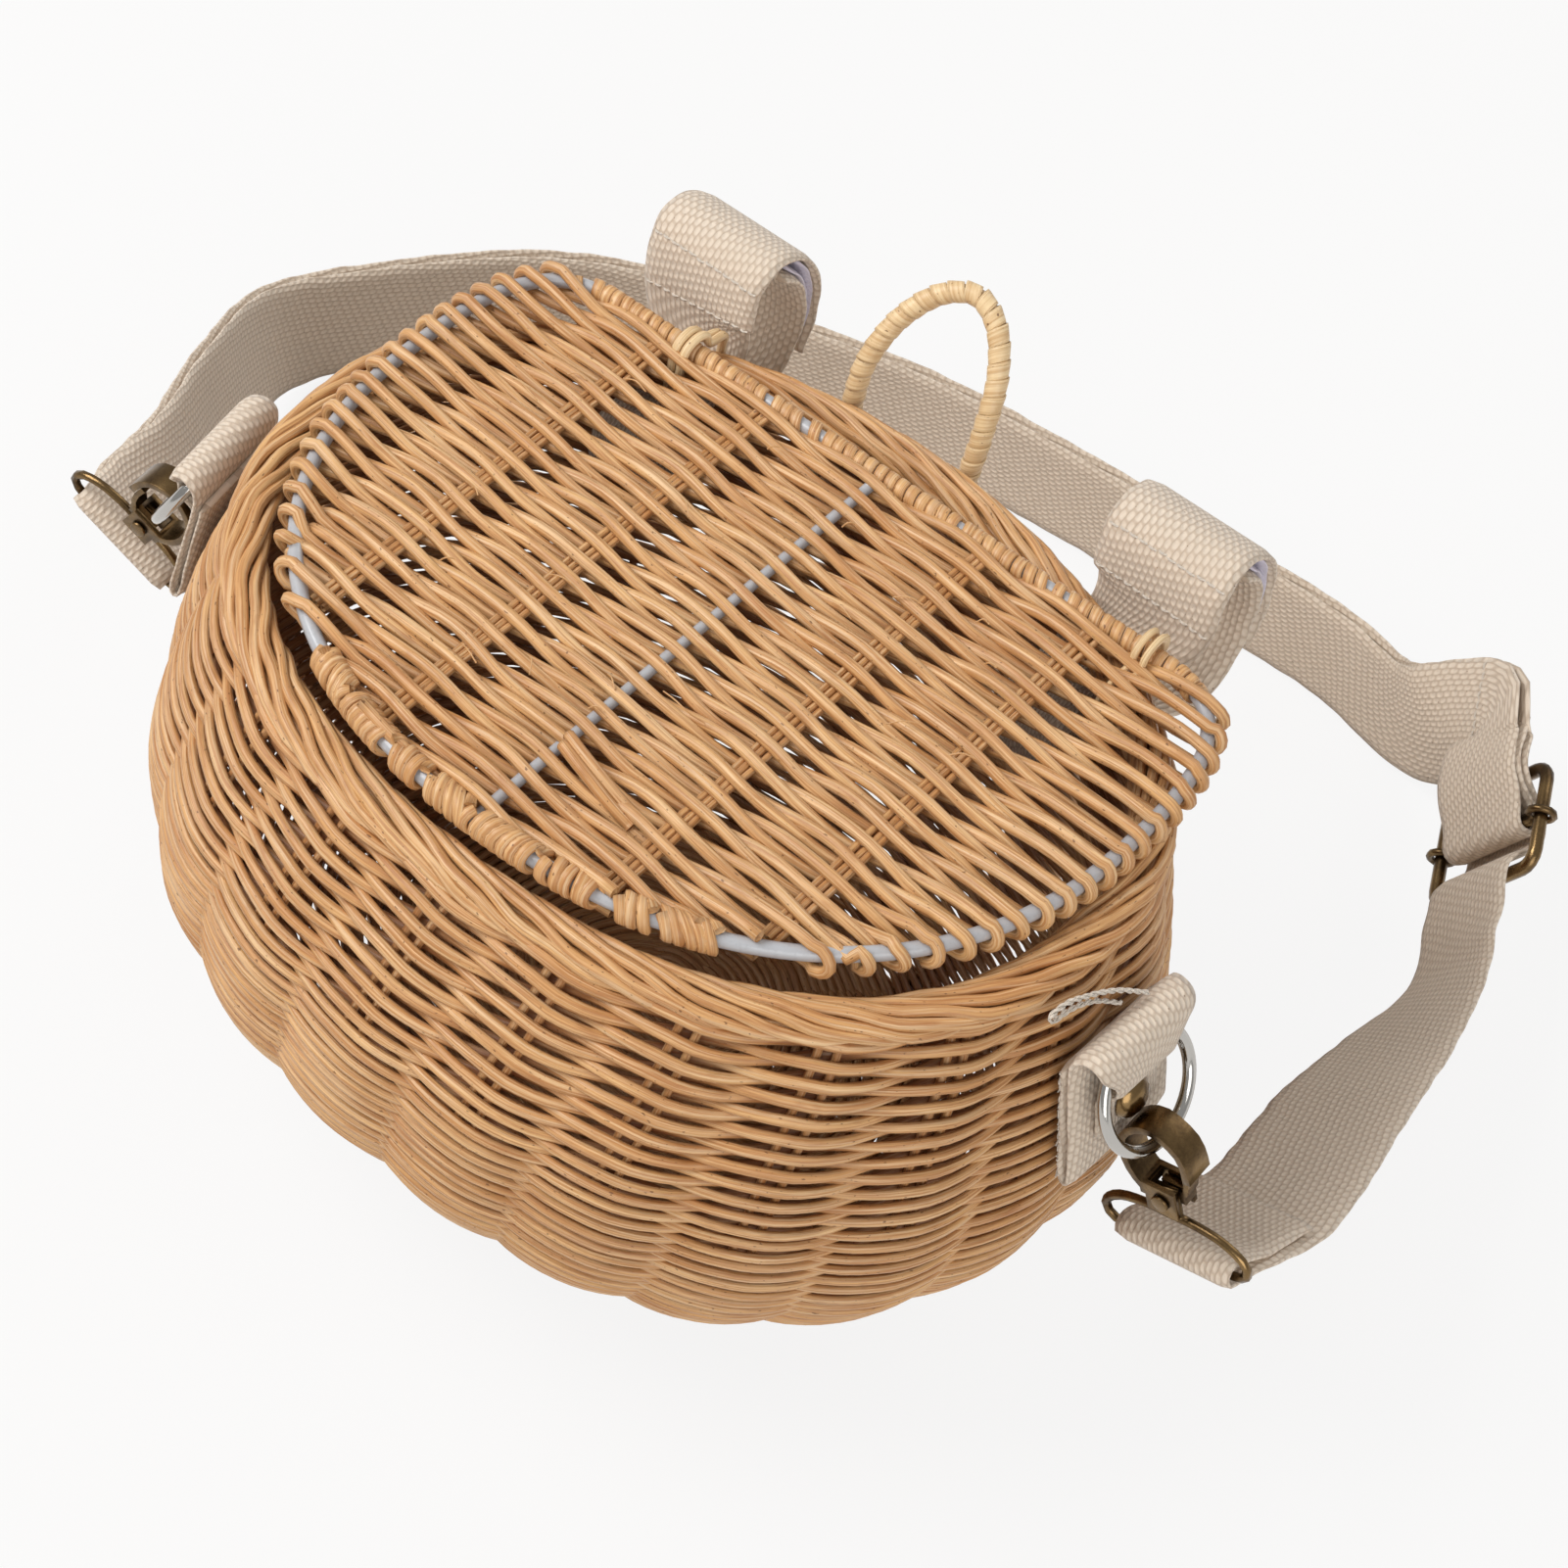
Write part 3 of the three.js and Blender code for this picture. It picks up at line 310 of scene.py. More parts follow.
def strands_object(name: str, strands: Iterable[Strand], sides: int = 8) -> bpy.types.Object:
    """Joins strands into one piece, each a closed skin.

    Args:
        name: The piece's name.
        strands: The rods, canes or wires.
        sides: The number of sides of each strand.

    Returns:
        The new object, with a pattern map round and along each strand.
    """
    corners, faces, pattern, tones, painted_shades = [], [], [], [], []
    base = 0
    for strand in strands:
        rings, way, reach = strand.rings(sides)
        count = len(rings)
        width = float(np.mean(strand.radius)) * 2 * math.pi / sides
        flat = float(np.mean(strand.flat))
        # The painted shade of each ring goes to all of its vertices.
        painted_shade = np.broadcast_to(np.asarray(strand.painted_shade, float), (count,))
        painted_shades.append(np.repeat(painted_shade, sides))
        spans = count if strand.closed else count - 1
        i, j = np.meshgrid(np.arange(spans), np.arange(sides), indexing="ij")
        k, m = (i + 1) % count, (j + 1) % sides
        quads = np.stack([i * sides + j, k * sides + j, k * sides + m, i * sides + m], -1).reshape(-1, 4)
        faces.extend((quads + base).tolist())
        full = np.append(reach, reach[-1] + (reach[-1] / max(count - 1, 1))) + strand.start
        low, high = full[i], full[i + 1]
        uv = np.stack([np.stack([j * width, low], -1), np.stack([j * width, high], -1),
                       np.stack([(j + 1) * width, high], -1), np.stack([(j + 1) * width, low], -1)], 2)
        pattern.append(uv.reshape(-1, 2))
        corners.append(rings.reshape(-1, 3))
        total = count * sides
        if not strand.closed:
            for end, sign in ((0, -1), (count - 1, 1)):
                size = float(np.broadcast_to(strand.radius, (count,))[end])
                corners.append((strand.points[end] + way[end] * sign * size * TIP_BULGE * flat)[None])
                painted_shades.append(painted_shade[end:end + 1])
                tip = base + total
                for a in range(sides):
                    b = (a + 1) % sides
                    pair = [base + end * sides + a, base + end * sides + b]
                    faces.append([tip, *(reversed(pair) if sign < 0 else pair)])
                    pattern.append(np.array([[a * width, full[end]]] * 3))
                total += 1
        tones.append(np.full(total, strand.tone))
        base += total
    shades = {"tone": np.concatenate(tones), "painted_shade": np.concatenate(painted_shades)}
    return add_mesh(name, np.vstack(corners), faces, np.vstack(pattern), shades)


def settle(piece: bpy.types.Object, body: str, material: bpy.types.Material,
           stands_for: Sequence[str] = ()) -> bpy.types.Object:
    """Gives a finished piece its material, sets it on its body and hides the CAD nodes that it stands for.

    Args:
        piece: The finished piece.
        body: The CAD body that it rides on.
        material: Its finish.
        stands_for: The CAD nodes that it replaces.

    Returns:
        The same piece.
    """
    piece.data.materials.clear()
    piece.data.materials.append(material)
    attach(piece, body)
    if stands_for:
        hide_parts(*stands_for)
    LOG.info("%s: %d faces on %s", piece.name, len(piece.data.polygons), body)
    return piece


# Materials
class Wire:
    """A number, colour or vector that a shader node gives; numbers take part in arithmetic."""

    def __init__(self, recipe: "Recipe", socket: bpy.types.NodeSocket) -> None:
        """Keeps the recipe and the socket."""
        self.recipe = recipe
        self.socket = socket

    def other(self, name: str) -> "Wire":
        """Gives another output of the same node."""
        return Wire(self.recipe, self.socket.node.outputs[name])

    def _math(self, operation: str, first: Any, second: Any) -> "Wire":
        """Adds one Math node."""
        return self.recipe.add("ShaderNodeMath", {"operation": operation}, {0: first, 1: second})

    def __add__(self, other: Any) -> "Wire":
        """Adds."""
        return self._math("ADD", self, other)

    def __radd__(self, other: Any) -> "Wire":
        """Adds to a plain number."""
        return self._math("ADD", other, self)

    def __sub__(self, other: Any) -> "Wire":
        """Takes away."""
        return self._math("SUBTRACT", self, other)

    def __rsub__(self, other: Any) -> "Wire":
        """Takes this from a plain number."""
        return self._math("SUBTRACT", other, self)

    def __mul__(self, other: Any) -> "Wire":
        """Multiplies."""
        return self._math("MULTIPLY", self, other)

    def sine(self) -> "Wire":
        """Gives the sine."""
        return self._math("SINE", self, 0.0)

    def size(self) -> "Wire":
        """Gives the value without its sign."""
        return self._math("ABSOLUTE", self, 0.0)

    def above(self, level: Any, soft: float) -> "Wire":
        """Steps from 0 to 1 round a level.

        Args:
            level: Where the step is half way.
            soft: How wide the step is.

        Returns:
            The stepped value.
        """
        return self.recipe.add("ShaderNodeMapRange", {"interpolation_type": "SMOOTHSTEP"},
                               {"Value": self - level, "From Min": -soft / 2, "From Max": soft / 2})


class Recipe:
    """The node tree of one material."""

    def __init__(self, name: str) -> None:
        """Starts an empty material.

        Args:
            name: The material's name.
        """
        self.material = bpy.data.materials.new(name)
        self.material.use_nodes = True
        self.tree = self.material.node_tree
        self.tree.nodes.clear()

    def add(self, kind: str, settings: dict[str, Any] | None = None,
            inputs: dict[Any, Any] | None = None, output: int | str = 0) -> Wire:
        """Adds one node.

        Args:
            kind: The node's type.
            settings: Its own settings.
            inputs: Values or wires for its sockets.
            output: The output that is given back.

        Returns:
            The chosen output.
        """
        node = self.tree.nodes.new(kind)
        for key, value in (settings or {}).items():
            setattr(node, key, value)
        for key, value in (inputs or {}).items():
            if isinstance(value, Wire):
                self.tree.links.new(value.socket, node.inputs[key])
            else:
                node.inputs[key].default_value = value
        return Wire(self, node.outputs[output] if len(node.outputs) else None)

    def mix(self, share: Any, first: Any, second: Any) -> Wire:
        """Mixes two colours.

        Args:
            share: How much of the second colour shows.
            first, second: The colours.

        Returns:
            The mixed colour.
        """
        return self.add("ShaderNodeMix", {"data_type": "RGBA"}, {0: share, 6: first, 7: second}, output=2)

    def noise(self, place: Wire, scale: float, detail: float, rough: float = 0.5) -> Wire:
        """Gives a noise value at a place.

        Args:
            place: The coordinates.
            scale: How fine the noise is.
            detail: How many layers it has.
            rough: How strong the fine layers are.

        Returns:
            The noise from 0 to 1.
        """
        return self.add("ShaderNodeTexNoise", None,
                        {"Vector": place, "Scale": scale, "Detail": detail, "Roughness": rough})

    def place(self) -> Wire:
        """Gives the object coordinates."""
        return self.add("ShaderNodeTexCoord", None, None, output="Object")

    def pattern(self) -> tuple[Wire, Wire]:
        """Gives the piece's own pattern map.

        Returns:
            The places across and along the piece, in millimetres.
        """
        uv = self.add("ShaderNodeUVMap", {"uv_map": "pattern"})
        parts = self.add("ShaderNodeSeparateXYZ", None, {0: uv})
        return parts, parts.other("Y")

    def vector(self, x: Any, y: Any, z: Any = 0.0) -> Wire:
        """Joins three numbers into a vector."""
        return self.add("ShaderNodeCombineXYZ", None, {0: x, 1: y, 2: z})

    def bump(self, height: Wire, strength: float, distance: float) -> Wire:
        """Turns a height into a normal.

        Args:
            height: The height.
            strength: The share of it that shows.
            distance: The height of one unit in metres.

        Returns:
            The normal.
        """
        return self.add("ShaderNodeBump", None,
                        {"Strength": strength, "Distance": distance, "Height": height})

    def surface(self, inputs: dict[str, Any]) -> bpy.types.Material:
        """Ends the material in one shader.

        Args:
            inputs: Values or wires for the shader's sockets.

        Returns:
            The finished material.
        """
        shader = self.add("ShaderNodeBsdfPrincipled", None, inputs)
        self.add("ShaderNodeOutputMaterial", None, {"Surface": shader})
        return self.material


@dataclass(frozen=True)
class RattanFinish:
    """Varnished rattan with long fibres, knots of darker skin and small specks, with painted highlight
    streaks and painted shade.
    """

    name: str
    pale: Colour
    deep: Colour
    shade: Colour
    # inner is the dark red-brown of the painted shade where the weave is deep.
    inner: Colour
    roughness: float
    coat: float
    # The pale colour of the painted highlight streaks.
    painted_highlight: Colour = linear(240, 214, 172)
    speck: Colour = linear(96, 58, 30)

    def material(self) -> bpy.types.Material:
        """Makes the finish from the strand's own map.

        Returns:
            The material.
        """
        recipe = Recipe(self.name)
        across, along = recipe.pattern()
        tone = recipe.add("ShaderNodeAttribute", {"attribute_name": "tone"}, None, output="Fac")
        painted_shade = recipe.add("ShaderNodeAttribute", {"attribute_name": "painted_shade"}, None, output="Fac")
        drift = recipe.noise(recipe.vector(along * 0.02, tone * 37.0), 1.0, 2.0)
        fibres = recipe.noise(recipe.vector(across * 1.5, along * 0.045, tone * 91.0), 1.0, 4.0, 0.62)
        patches = recipe.noise(recipe.vector(across * 0.5, along * 0.11, tone * 53.0), 1.0, 2.0)
        body = recipe.mix((tone * 0.55 + drift * 0.7 - 0.12).above(0.5, 1.1), self.pale, self.deep)
        body = recipe.mix(fibres.above(0.48, 0.28) * 0.68, body, self.shade)
        # Painted highlight: pale streaks along the rods stand in for highlights.
        painted_highlight = recipe.noise(recipe.vector(across * 2.1, along * 0.03, tone * 13.0), 1.0, 3.0, 0.6)
        body = recipe.mix(painted_highlight.above(0.55, 0.2) * 0.4, body, self.painted_highlight)
        dull = recipe.mix(patches.above(0.66, 0.16) * 0.35, body, self.shade)
        specks = recipe.noise(recipe.vector(across * 1.3, along * 0.55, tone * 17.0), 1.1, 1.0)
        marks = specks.above(0.735, 0.05)
        colour = recipe.mix(marks * 0.75, dull, self.speck)
        # Painted shade: the colour darkens toward inner by the painted shade of each vertex.
        colour = recipe.mix(painted_shade * 0.72, colour, self.inner)
        height = fibres * 0.8 + patches * 0.4
        return recipe.surface({
            "Base Color": colour,
            "Roughness": self.roughness + fibres * 0.2 - 0.08,
            "Coat Weight": self.coat - marks * 0.3,
            "Coat Roughness": 0.22,
            "Specular IOR Level": 0.4,
            "Normal": recipe.bump(height, 0.75, 0.0004),
        })


@dataclass(frozen=True)
class WireFinish:
    """Pale plastic coated wire, slightly dusty."""

    name: str
    colour: Colour
    dusty: Colour = linear(150, 150, 152)
    bright: Colour = linear(196, 197, 200)

    def material(self) -> bpy.types.Material:
        """Makes the finish.

        Returns:
            The material.
        """
        recipe = Recipe(self.name)
        place = recipe.place()
        dust = recipe.noise(place, 900.0, 3.0, 0.6)
        broad = recipe.noise(place, 70.0, 2.0)
        colour = recipe.mix(dust.above(0.6, 0.2) * 0.35, self.colour, self.dusty)
        return recipe.surface({
            "Base Color": recipe.mix(broad * 0.25, colour, self.bright),
            "Roughness": 0.26 + dust * 0.2,
            "Coat Weight": 0.3 + broad * 0.2,
            "Normal": recipe.bump(dust, 0.2, 0.0002),
        })


@dataclass(frozen=True)
class WebbingFinish:
    """Cotton webbing: short ribs of thick yarn that cross over and under, with painted shade in the hollows
    between them.
    """

    name: str
    yarn: Colour
    # The colour of the painted shade in the hollows between the ribs.
    painted_hollow_shade: Colour
    rib: float = 1.75
    step: float = 1.45
    light: Colour = linear(233, 222, 208)
    stained: Colour = linear(205, 188, 168)
    fleck: Colour = linear(104, 74, 48)

    def material(self) -> bpy.types.Material:
        """Makes the finish from the webbing's own map, across and along.

        Returns:
            The material.
        """
        recipe = Recipe(self.name)
        across, along = recipe.pattern()
        sway = recipe.noise(recipe.vector(across * 0.15, along * 0.15), 1.0, 2.0) - 0.5
        x = (across + sway * 0.9) * (math.pi / self.rib)
        y = (along + sway * 0.8) * (math.pi / self.step)
        weft = (y + x * 0.5).sine()
        warp = (x - y * 0.08).sine()
        crowns = warp.size() * 0.55 + (warp * weft) * 0.45 + 0.3
        fluff = recipe.noise(recipe.vector(across * 2.4, along * 2.4), 1.0, 4.0, 0.7)
        strands = recipe.noise(recipe.vector(across * 5.0, along * 0.9), 1.0, 2.0)
        stain = recipe.noise(recipe.vector(across * 0.04, along * 0.04), 1.0, 3.0)
        # Painted shade: the colour darkens between the rib crowns, where shade falls in the hollows.
        colour = recipe.mix(1 - crowns.above(0.42, 0.7), self.yarn, self.painted_hollow_shade)
        colour = recipe.mix(strands * 0.28, colour, self.light)
        colour = recipe.mix(stain.above(0.58, 0.3) * 0.22, colour, self.stained)
        flecks = recipe.noise(recipe.vector(across * 1.1, along * 0.9, 9.0), 1.0, 1.0).above(0.76, 0.03)
        colour = recipe.mix(flecks * 0.7, colour, self.fleck)
        height = crowns + fluff * 0.45
        return recipe.surface({
            "Base Color": colour,
            "Roughness": 0.86 + fluff * 0.12,
            "Specular IOR Level": 0.2,
            "Sheen Weight": 0.25,
            "Sheen Roughness": 0.5,
            "Normal": recipe.bump(height, 0.9, 0.00042),
        })


@dataclass(frozen=True)
class TapeFinish:
    """Nylon hook and loop tape: a fine pile in rows."""

    name: str
    colour: Colour
    pile: Colour = linear(206, 198, 214)
    pitch: tuple[float, float] = (0.9, 1.1)

    def material(self) -> bpy.types.Material:
        """Makes the finish from the tape's own map.

        Returns:
            The material.
        """
        recipe = Recipe(self.name)
        across, along = recipe.pattern()
        wide, long = self.pitch
        rows = (across * (math.pi / wide)).sine() * (along * (math.pi / long)).sine()
        pile = recipe.noise(recipe.vector(across, along), 3.0, 4.0, 0.75)
        colour = recipe.mix(pile * 0.6, self.colour, self.pile)
        return recipe.surface({
            "Base Color": colour,
            "Roughness": 0.62 + pile * 0.2,
            "Sheen Weight": 0.3,
            "Normal": recipe.bump(rows * 0.4 + pile, 0.8, 0.0004),
        })


@dataclass(frozen=True)
class BrassFinish:
    """Antique plated brass: dark patina, rubbed bright in patches."""

    name: str
    rubbed: Colour
    dark: Colour

    def material(self) -> bpy.types.Material:
        """Makes the finish.

        Returns:
            The material.
        """
        recipe = Recipe(self.name)
        place = recipe.place()
        clouds = recipe.noise(place, 110.0, 3.0, 0.5)
        grain = recipe.noise(place, 1400.0, 2.0, 0.6)
        worn = (clouds * 0.8 + grain * 0.2).above(0.5, 0.4)
        return recipe.surface({
            "Base Color": recipe.mix(worn, self.dark, self.rubbed),
            "Metallic": 0.92 + worn * 0.08,
            "Roughness": 0.36 - worn * 0.12,
            "Normal": recipe.bump(grain, 0.12, 0.0002),
        })


@dataclass(frozen=True)
class ChromeFinish:
    """Bright nickel plate with fine scratches."""

    name: str
    bright: Colour = linear(196, 193, 188)
    hazed: Colour = linear(150, 146, 140)

    def material(self) -> bpy.types.Material:
        """Makes the finish.

        Returns:
            The material.
        """
        recipe = Recipe(self.name)
        place = recipe.place()
        scratches = recipe.noise(place, 700.0, 3.0, 0.7)
        haze = recipe.noise(place, 60.0, 2.0)
        return recipe.surface({
            "Base Color": recipe.mix(haze * 0.5, self.bright, self.hazed),
            "Metallic": 1.0,
            "Roughness": 0.07 + scratches * 0.1,
            "Normal": recipe.bump(scratches, 0.12, 0.0002),
        })


@dataclass
class Finishes:
    """Every finish of the basket, made once."""

    rattan: bpy.types.Material
    cane: bpy.types.Material
    wire: bpy.types.Material
    cotton: bpy.types.Material
    thread: bpy.types.Material
    tape: bpy.types.Material
    brass: bpy.types.Material
    chrome: bpy.types.Material

    @classmethod
    def make(cls) -> "Finishes":
        """Makes all finishes.

        Returns:
            The finishes.
        """
        return cls(
            # The inner colour of each rattan finish is the dark of its painted shade.
            rattan=RattanFinish(
                "woven_rattan", pale=linear(219, 174, 117), deep=linear(198, 144, 88),
                shade=linear(158, 99, 51), inner=linear(108, 43, 17), roughness=0.46, coat=0.16,
            ).material(),
            cane=RattanFinish(
                "pale_cane", pale=linear(234, 208, 164), deep=linear(216, 183, 134),
                shade=linear(190, 148, 98), inner=linear(130, 76, 42), roughness=0.48, coat=0.2,
            ).material(),
            wire=WireFinish("coated_wire", colour=linear(172, 173, 176)).material(),
            cotton=WebbingFinish(
                "cotton_webbing", yarn=linear(221, 204, 184), painted_hollow_shade=linear(160, 134, 108),
            ).material(),
            thread=WebbingFinish(
                "cotton_thread", yarn=linear(236, 226, 212), painted_hollow_shade=linear(198, 180, 160), rib=0.5, step=0.7,
            ).material(),
            tape=TapeFinish("hook_tape", colour=linear(229, 222, 236)).material(),
            brass=BrassFinish(
                "antique_brass", rubbed=linear(136, 110, 74), dark=linear(72, 55, 36),
            ).material(),
            chrome=ChromeFinish("bright_plate").material(),
        )


@dataclass(frozen=True)
class BodyProfile:
    """Outline of the basket body from rim (0) to floor (1), in millimetres."""

    rim_height: float = 170.0
    back_edge: float = 58.0
    levels: tuple[float, ...] = (0, 0.12, 0.28, 0.45, 0.62, 0.8, 1)
    half_width: tuple[float, ...] = (126, 133, 139, 143, 140, 121, 84)
    front: tuple[float, ...] = (100, 112, 124, 125, 120, 100, 48)
    back: tuple[float, ...] = (86, 87, 88, 87, 84, 77, 62)
    front_power: float = 2.27
    back_power: float = 1.95
    centre_y: float = -8.0
    stakes: int = 21
    stake_phase: float = 0.0085
    stake_slant: float = 0.24
    widest: float = 0.45

    def _between(self, sizes: Sequence[float], level: np.ndarray) -> np.ndarray:
        """Reads a size at any level from a smooth curve.

        Args:
            sizes: The size at each of the named levels.
            level: The levels that are wanted.

        Returns:
            The size at those levels.
        """
        xs, ys = np.array(self.levels, float), np.array(sizes, float)
        slope = np.empty_like(ys)
        slope[0] = (ys[1] - ys[0]) / (xs[1] - xs[0])
        slope[-1] = (ys[-1] - ys[-2]) / (xs[-1] - xs[-2])
        slope[1:-1] = (ys[2:] - ys[:-2]) / (xs[2:] - xs[:-2])
        i = np.clip(np.searchsorted(xs, level, side="right") - 1, 0, len(xs) - 2)
        h = xs[i + 1] - xs[i]
        s = (level - xs[i]) / h
        return ((2 * s ** 3 - 3 * s ** 2 + 1) * ys[i] + (s ** 3 - 2 * s ** 2 + s) * h * slope[i]
                + (3 * s ** 2 - 2 * s ** 3) * ys[i + 1] + (s ** 3 - s ** 2) * h * slope[i + 1])

    def point(self, level: Any, angle: Any) -> np.ndarray:
        """Gives a point of the outer skin.

        Args:
            level: The level, from the rim to the floor.
            angle: The angle round the basket, from +X.

        Returns:
            The points, in the shape of the inputs with three numbers each.
        """
        level, angle = np.broadcast_arrays(np.asarray(level, float), np.asarray(angle, float))
        c, s = np.cos(angle), np.sin(angle)
        power = np.where(s > 0, self.back_power, self.front_power)
        r = (np.abs(c) ** power + np.abs(s) ** power) ** (-1 / power)
        deep = np.where(s > 0, self._between(self.back, level), self._between(self.front, level))
        x = self._between(self.half_width, level) * r * c
        return np.stack([x, self.centre_y + deep * r * s, self.rim_height * (1 - level)], -1)

    def normal(self, level: Any, angle: Any) -> np.ndarray:
        """Gives the outward direction of the skin.

        Args:
            level: The level.
            angle: The angle round the basket.

        Returns:
            One unit vector for each point.
        """
        nudge = 0.004
        level, angle = np.broadcast_arrays(np.asarray(level, float), np.asarray(angle, float))
        across = self.point(level, angle + nudge) - self.point(level, angle - nudge)
        lower, upper = np.minimum(level + nudge, 1), np.maximum(level - nudge, 0)
        down = self.point(lower, angle) - self.point(upper, angle)
        return unit(np.cross(down, across))

    def flat_normal(self, angle: Any) -> np.ndarray:
        """Gives the outward direction at the rim, level with the floor.

        Args:
            angle: The angle round the basket.

        Returns:
            One unit vector for each angle.
        """
        outward = self.normal(0.0, angle)
        outward[..., 2] = 0
        return unit(outward)

    def angle_at(self, turn: Any) -> np.ndarray:
        """Turns a share of the girth into an angle.

        Args:
            turn: The share of the girth, counted from +X, and beyond one for more turns.

        Returns:
            The angle.
        """
        fine = np.linspace(0, 2 * math.pi, 1441)
        girth = distance_along(self.point(self.widest, fine))
        turn = np.asarray(turn, float)
        whole = np.floor(turn)
        return np.interp((turn - whole) * girth[-1], girth, fine) + whole * 2 * math.pi

    def slanted(self, turn: Any, level: Any) -> np.ndarray:
        """Gives the angle of a stake that leans as it goes down."""
        return self.angle_at(turn) + self.stake_slant * (0.3 - np.asarray(level, float))


@dataclass
class WovenBody:
    """The wall, its stakes, the rolled border and the base."""

    profile: BodyProfile
    finishes: Finishes
    rows: int = 41
    top_level: float = 0.027
    bottom_level: float = 0.993
    crowding: float = 0.12
    samples: int = 10
    stake_depth: float = 2.8
    stake_radius: float = 1.15
    stake_gap: float = 2.35
    stake_levels: tuple[float, float] = (0.03, 0.985)
    rod_share: float = 0.25
    rod_limits: tuple[float, float] = (0.85, 1.5)
    swell: float = 0.2
    low_swell: float = 0.55
    inner_swell: float = 0.6
    border_rods: int = 50
    border_radius: float = 1.5
    border_span: float = 2.7
    border_half: tuple[float, float] = (5.0, 3.5)
    border_mid: float = 164.3
    border_inset: float = 2.3
    border_roll: tuple[float, float] = (205.0, 240.0)
    core_aside: float = 1.9
    core_radius: float = 2.1
    base_rings: int = 24
    base_height: float = 2.35
    base_radius: float = 1.45
    base_wave: tuple[float, float] = (1.2, 0.8)
    base_stake_radius: float = 1.1

    def row_levels(self) -> tuple[np.ndarray, np.ndarray]:
        """Spaces the rows down the wall, a little closer towards the floor.

        Returns:
            The level of each row and the levels between rows.
        """
        level = np.linspace(self.top_level, self.bottom_level, 200)
        angle = np.linspace(0, 2 * math.pi, 96, endpoint=False)
        grid = self.profile.point(level[:, None], angle[None, :])
        steps = np.linalg.norm(np.diff(grid, axis=0), axis=-1).mean(1)
        reach = np.concatenate([[0], np.cumsum(steps)])
        share = np.linspace(0, 1, 2 * self.rows + 1)
        marks = np.interp(reach[-1] * share * (1 + self.crowding - self.crowding * share), reach, level)
        return marks[1::2], marks[0::2]

    def wall_rod(self, rng: np.random.Generator, level: float, drop: float, tone: float) -> Strand:
        """Makes the rod of one row, which goes round twice and twines with itself.

        Args:
            rng: The seeded source of small differences.
            level: The row's level.
            drop: The row's height as a share of the level.
            tone: The rod's shade.

        Returns:
            The strand.
        """
        body = self.profile
        strokes = 2 * body.stakes
        t = np.arange(strokes * self.samples) / self.samples
        angle = body.slanted(t / body.stakes + body.stake_phase, level)
        nudge = 0.01
        fall = body.point(level + nudge, angle) - body.point(level - nudge, angle)
        speed = np.linalg.norm(fall, axis=-1) / (2 * nudge)
        pitch = speed * drop
        thick = np.clip(pitch * self.rod_share, *self.rod_limits)
        inside = np.cos(math.pi * t) < 0
        low = np.clip((level - 0.6) / 0.25, 0, 1)
        swell = np.where(inside, self.inner_swell, self.swell + self.low_swell * low)
        radius = thick * (1.02 + swell * np.cos(math.pi * t) ** 2) * (1 + ripple(rng, t, 0.06, 5.0))
        reach = self.stake_radius + thick
        wave = self.powered(np.cos(math.pi * t), 0.85)
        out = reach * wave + ripple(rng, t, 0.12, 3.1)
        rise = -(pitch * 0.25) * self.powered(np.sin(math.pi * t), 0.65) + ripple(rng, t, 0.24, 2.3)
        centre = body.point(level - rise / speed, angle)
        normal = body.normal(level, angle)
        points = centre + normal * (out - self.stake_depth)[:, None]
        # Painted shade: the rod darkens where it passes to the inside of the wall.
        painted_shade = np.clip(-0.06 - 0.88 * wave, 0, 0.85)
        return Strand(points, radius, closed=True, tone=tone, flat=thick / radius, up=normal, painted_shade=painted_shade)

    @staticmethod
    def powered(wave: np.ndarray, power: float) -> np.ndarray:
        """Squares off or sharpens a wave that runs between -1 and 1."""
        return np.sign(wave) * np.abs(wave) ** power

    def build_wall(self) -> None:
        """Weaves the wall in three bands."""
        rng = np.random.default_rng(SEED)
        levels, edges = self.row_levels()
        rods = [self.wall_rod(rng, level, edges[i + 1] - edges[i], rng.random())
                for i, level in enumerate(levels)]
        third = math.ceil(len(rods) / 3)
        for i, name in enumerate(("wall_weave_upper", "wall_weave_middle", "wall_weave_lower")):
            piece = strands_object(name, rods[i * third:(i + 1) * third])
            settle(piece, "basket", self.finishes.rattan, ["woven_wall"])

    def build_stakes(self) -> None:
        """Sets two rods side by side for each stake."""
        rng = np.random.default_rng(SEED + 1)
        body = self.profile
        level = np.linspace(*self.stake_levels, 34)
        rods = []
        for k in range(body.stakes):
            angle = body.slanted(k / body.stakes + body.stake_phase, level)
            normal = body.normal(level, angle)
            middle = body.point(level, angle) - normal * self.stake_depth
            across = unit(np.cross(directions(middle), normal))
            for sign in (-1, 1):
                aside = sign * self.stake_gap + ripple(rng, level, 0.3, 0.4)
                # Each stake rod carries a little painted shade, and its tone leans to the deeper colour.
                rods.append(Strand(middle + across * aside[:, None], self.stake_radius,
                                   tone=0.4 + 0.6 * rng.random(), up=normal, painted_shade=0.3))
        nodes = [f"body_stake_{k + 1:02d}" for k in range(body.stakes)]
        piece = strands_object("body_stake_rods", rods, 7)
        settle(piece, "basket", self.finishes.rattan, nodes)

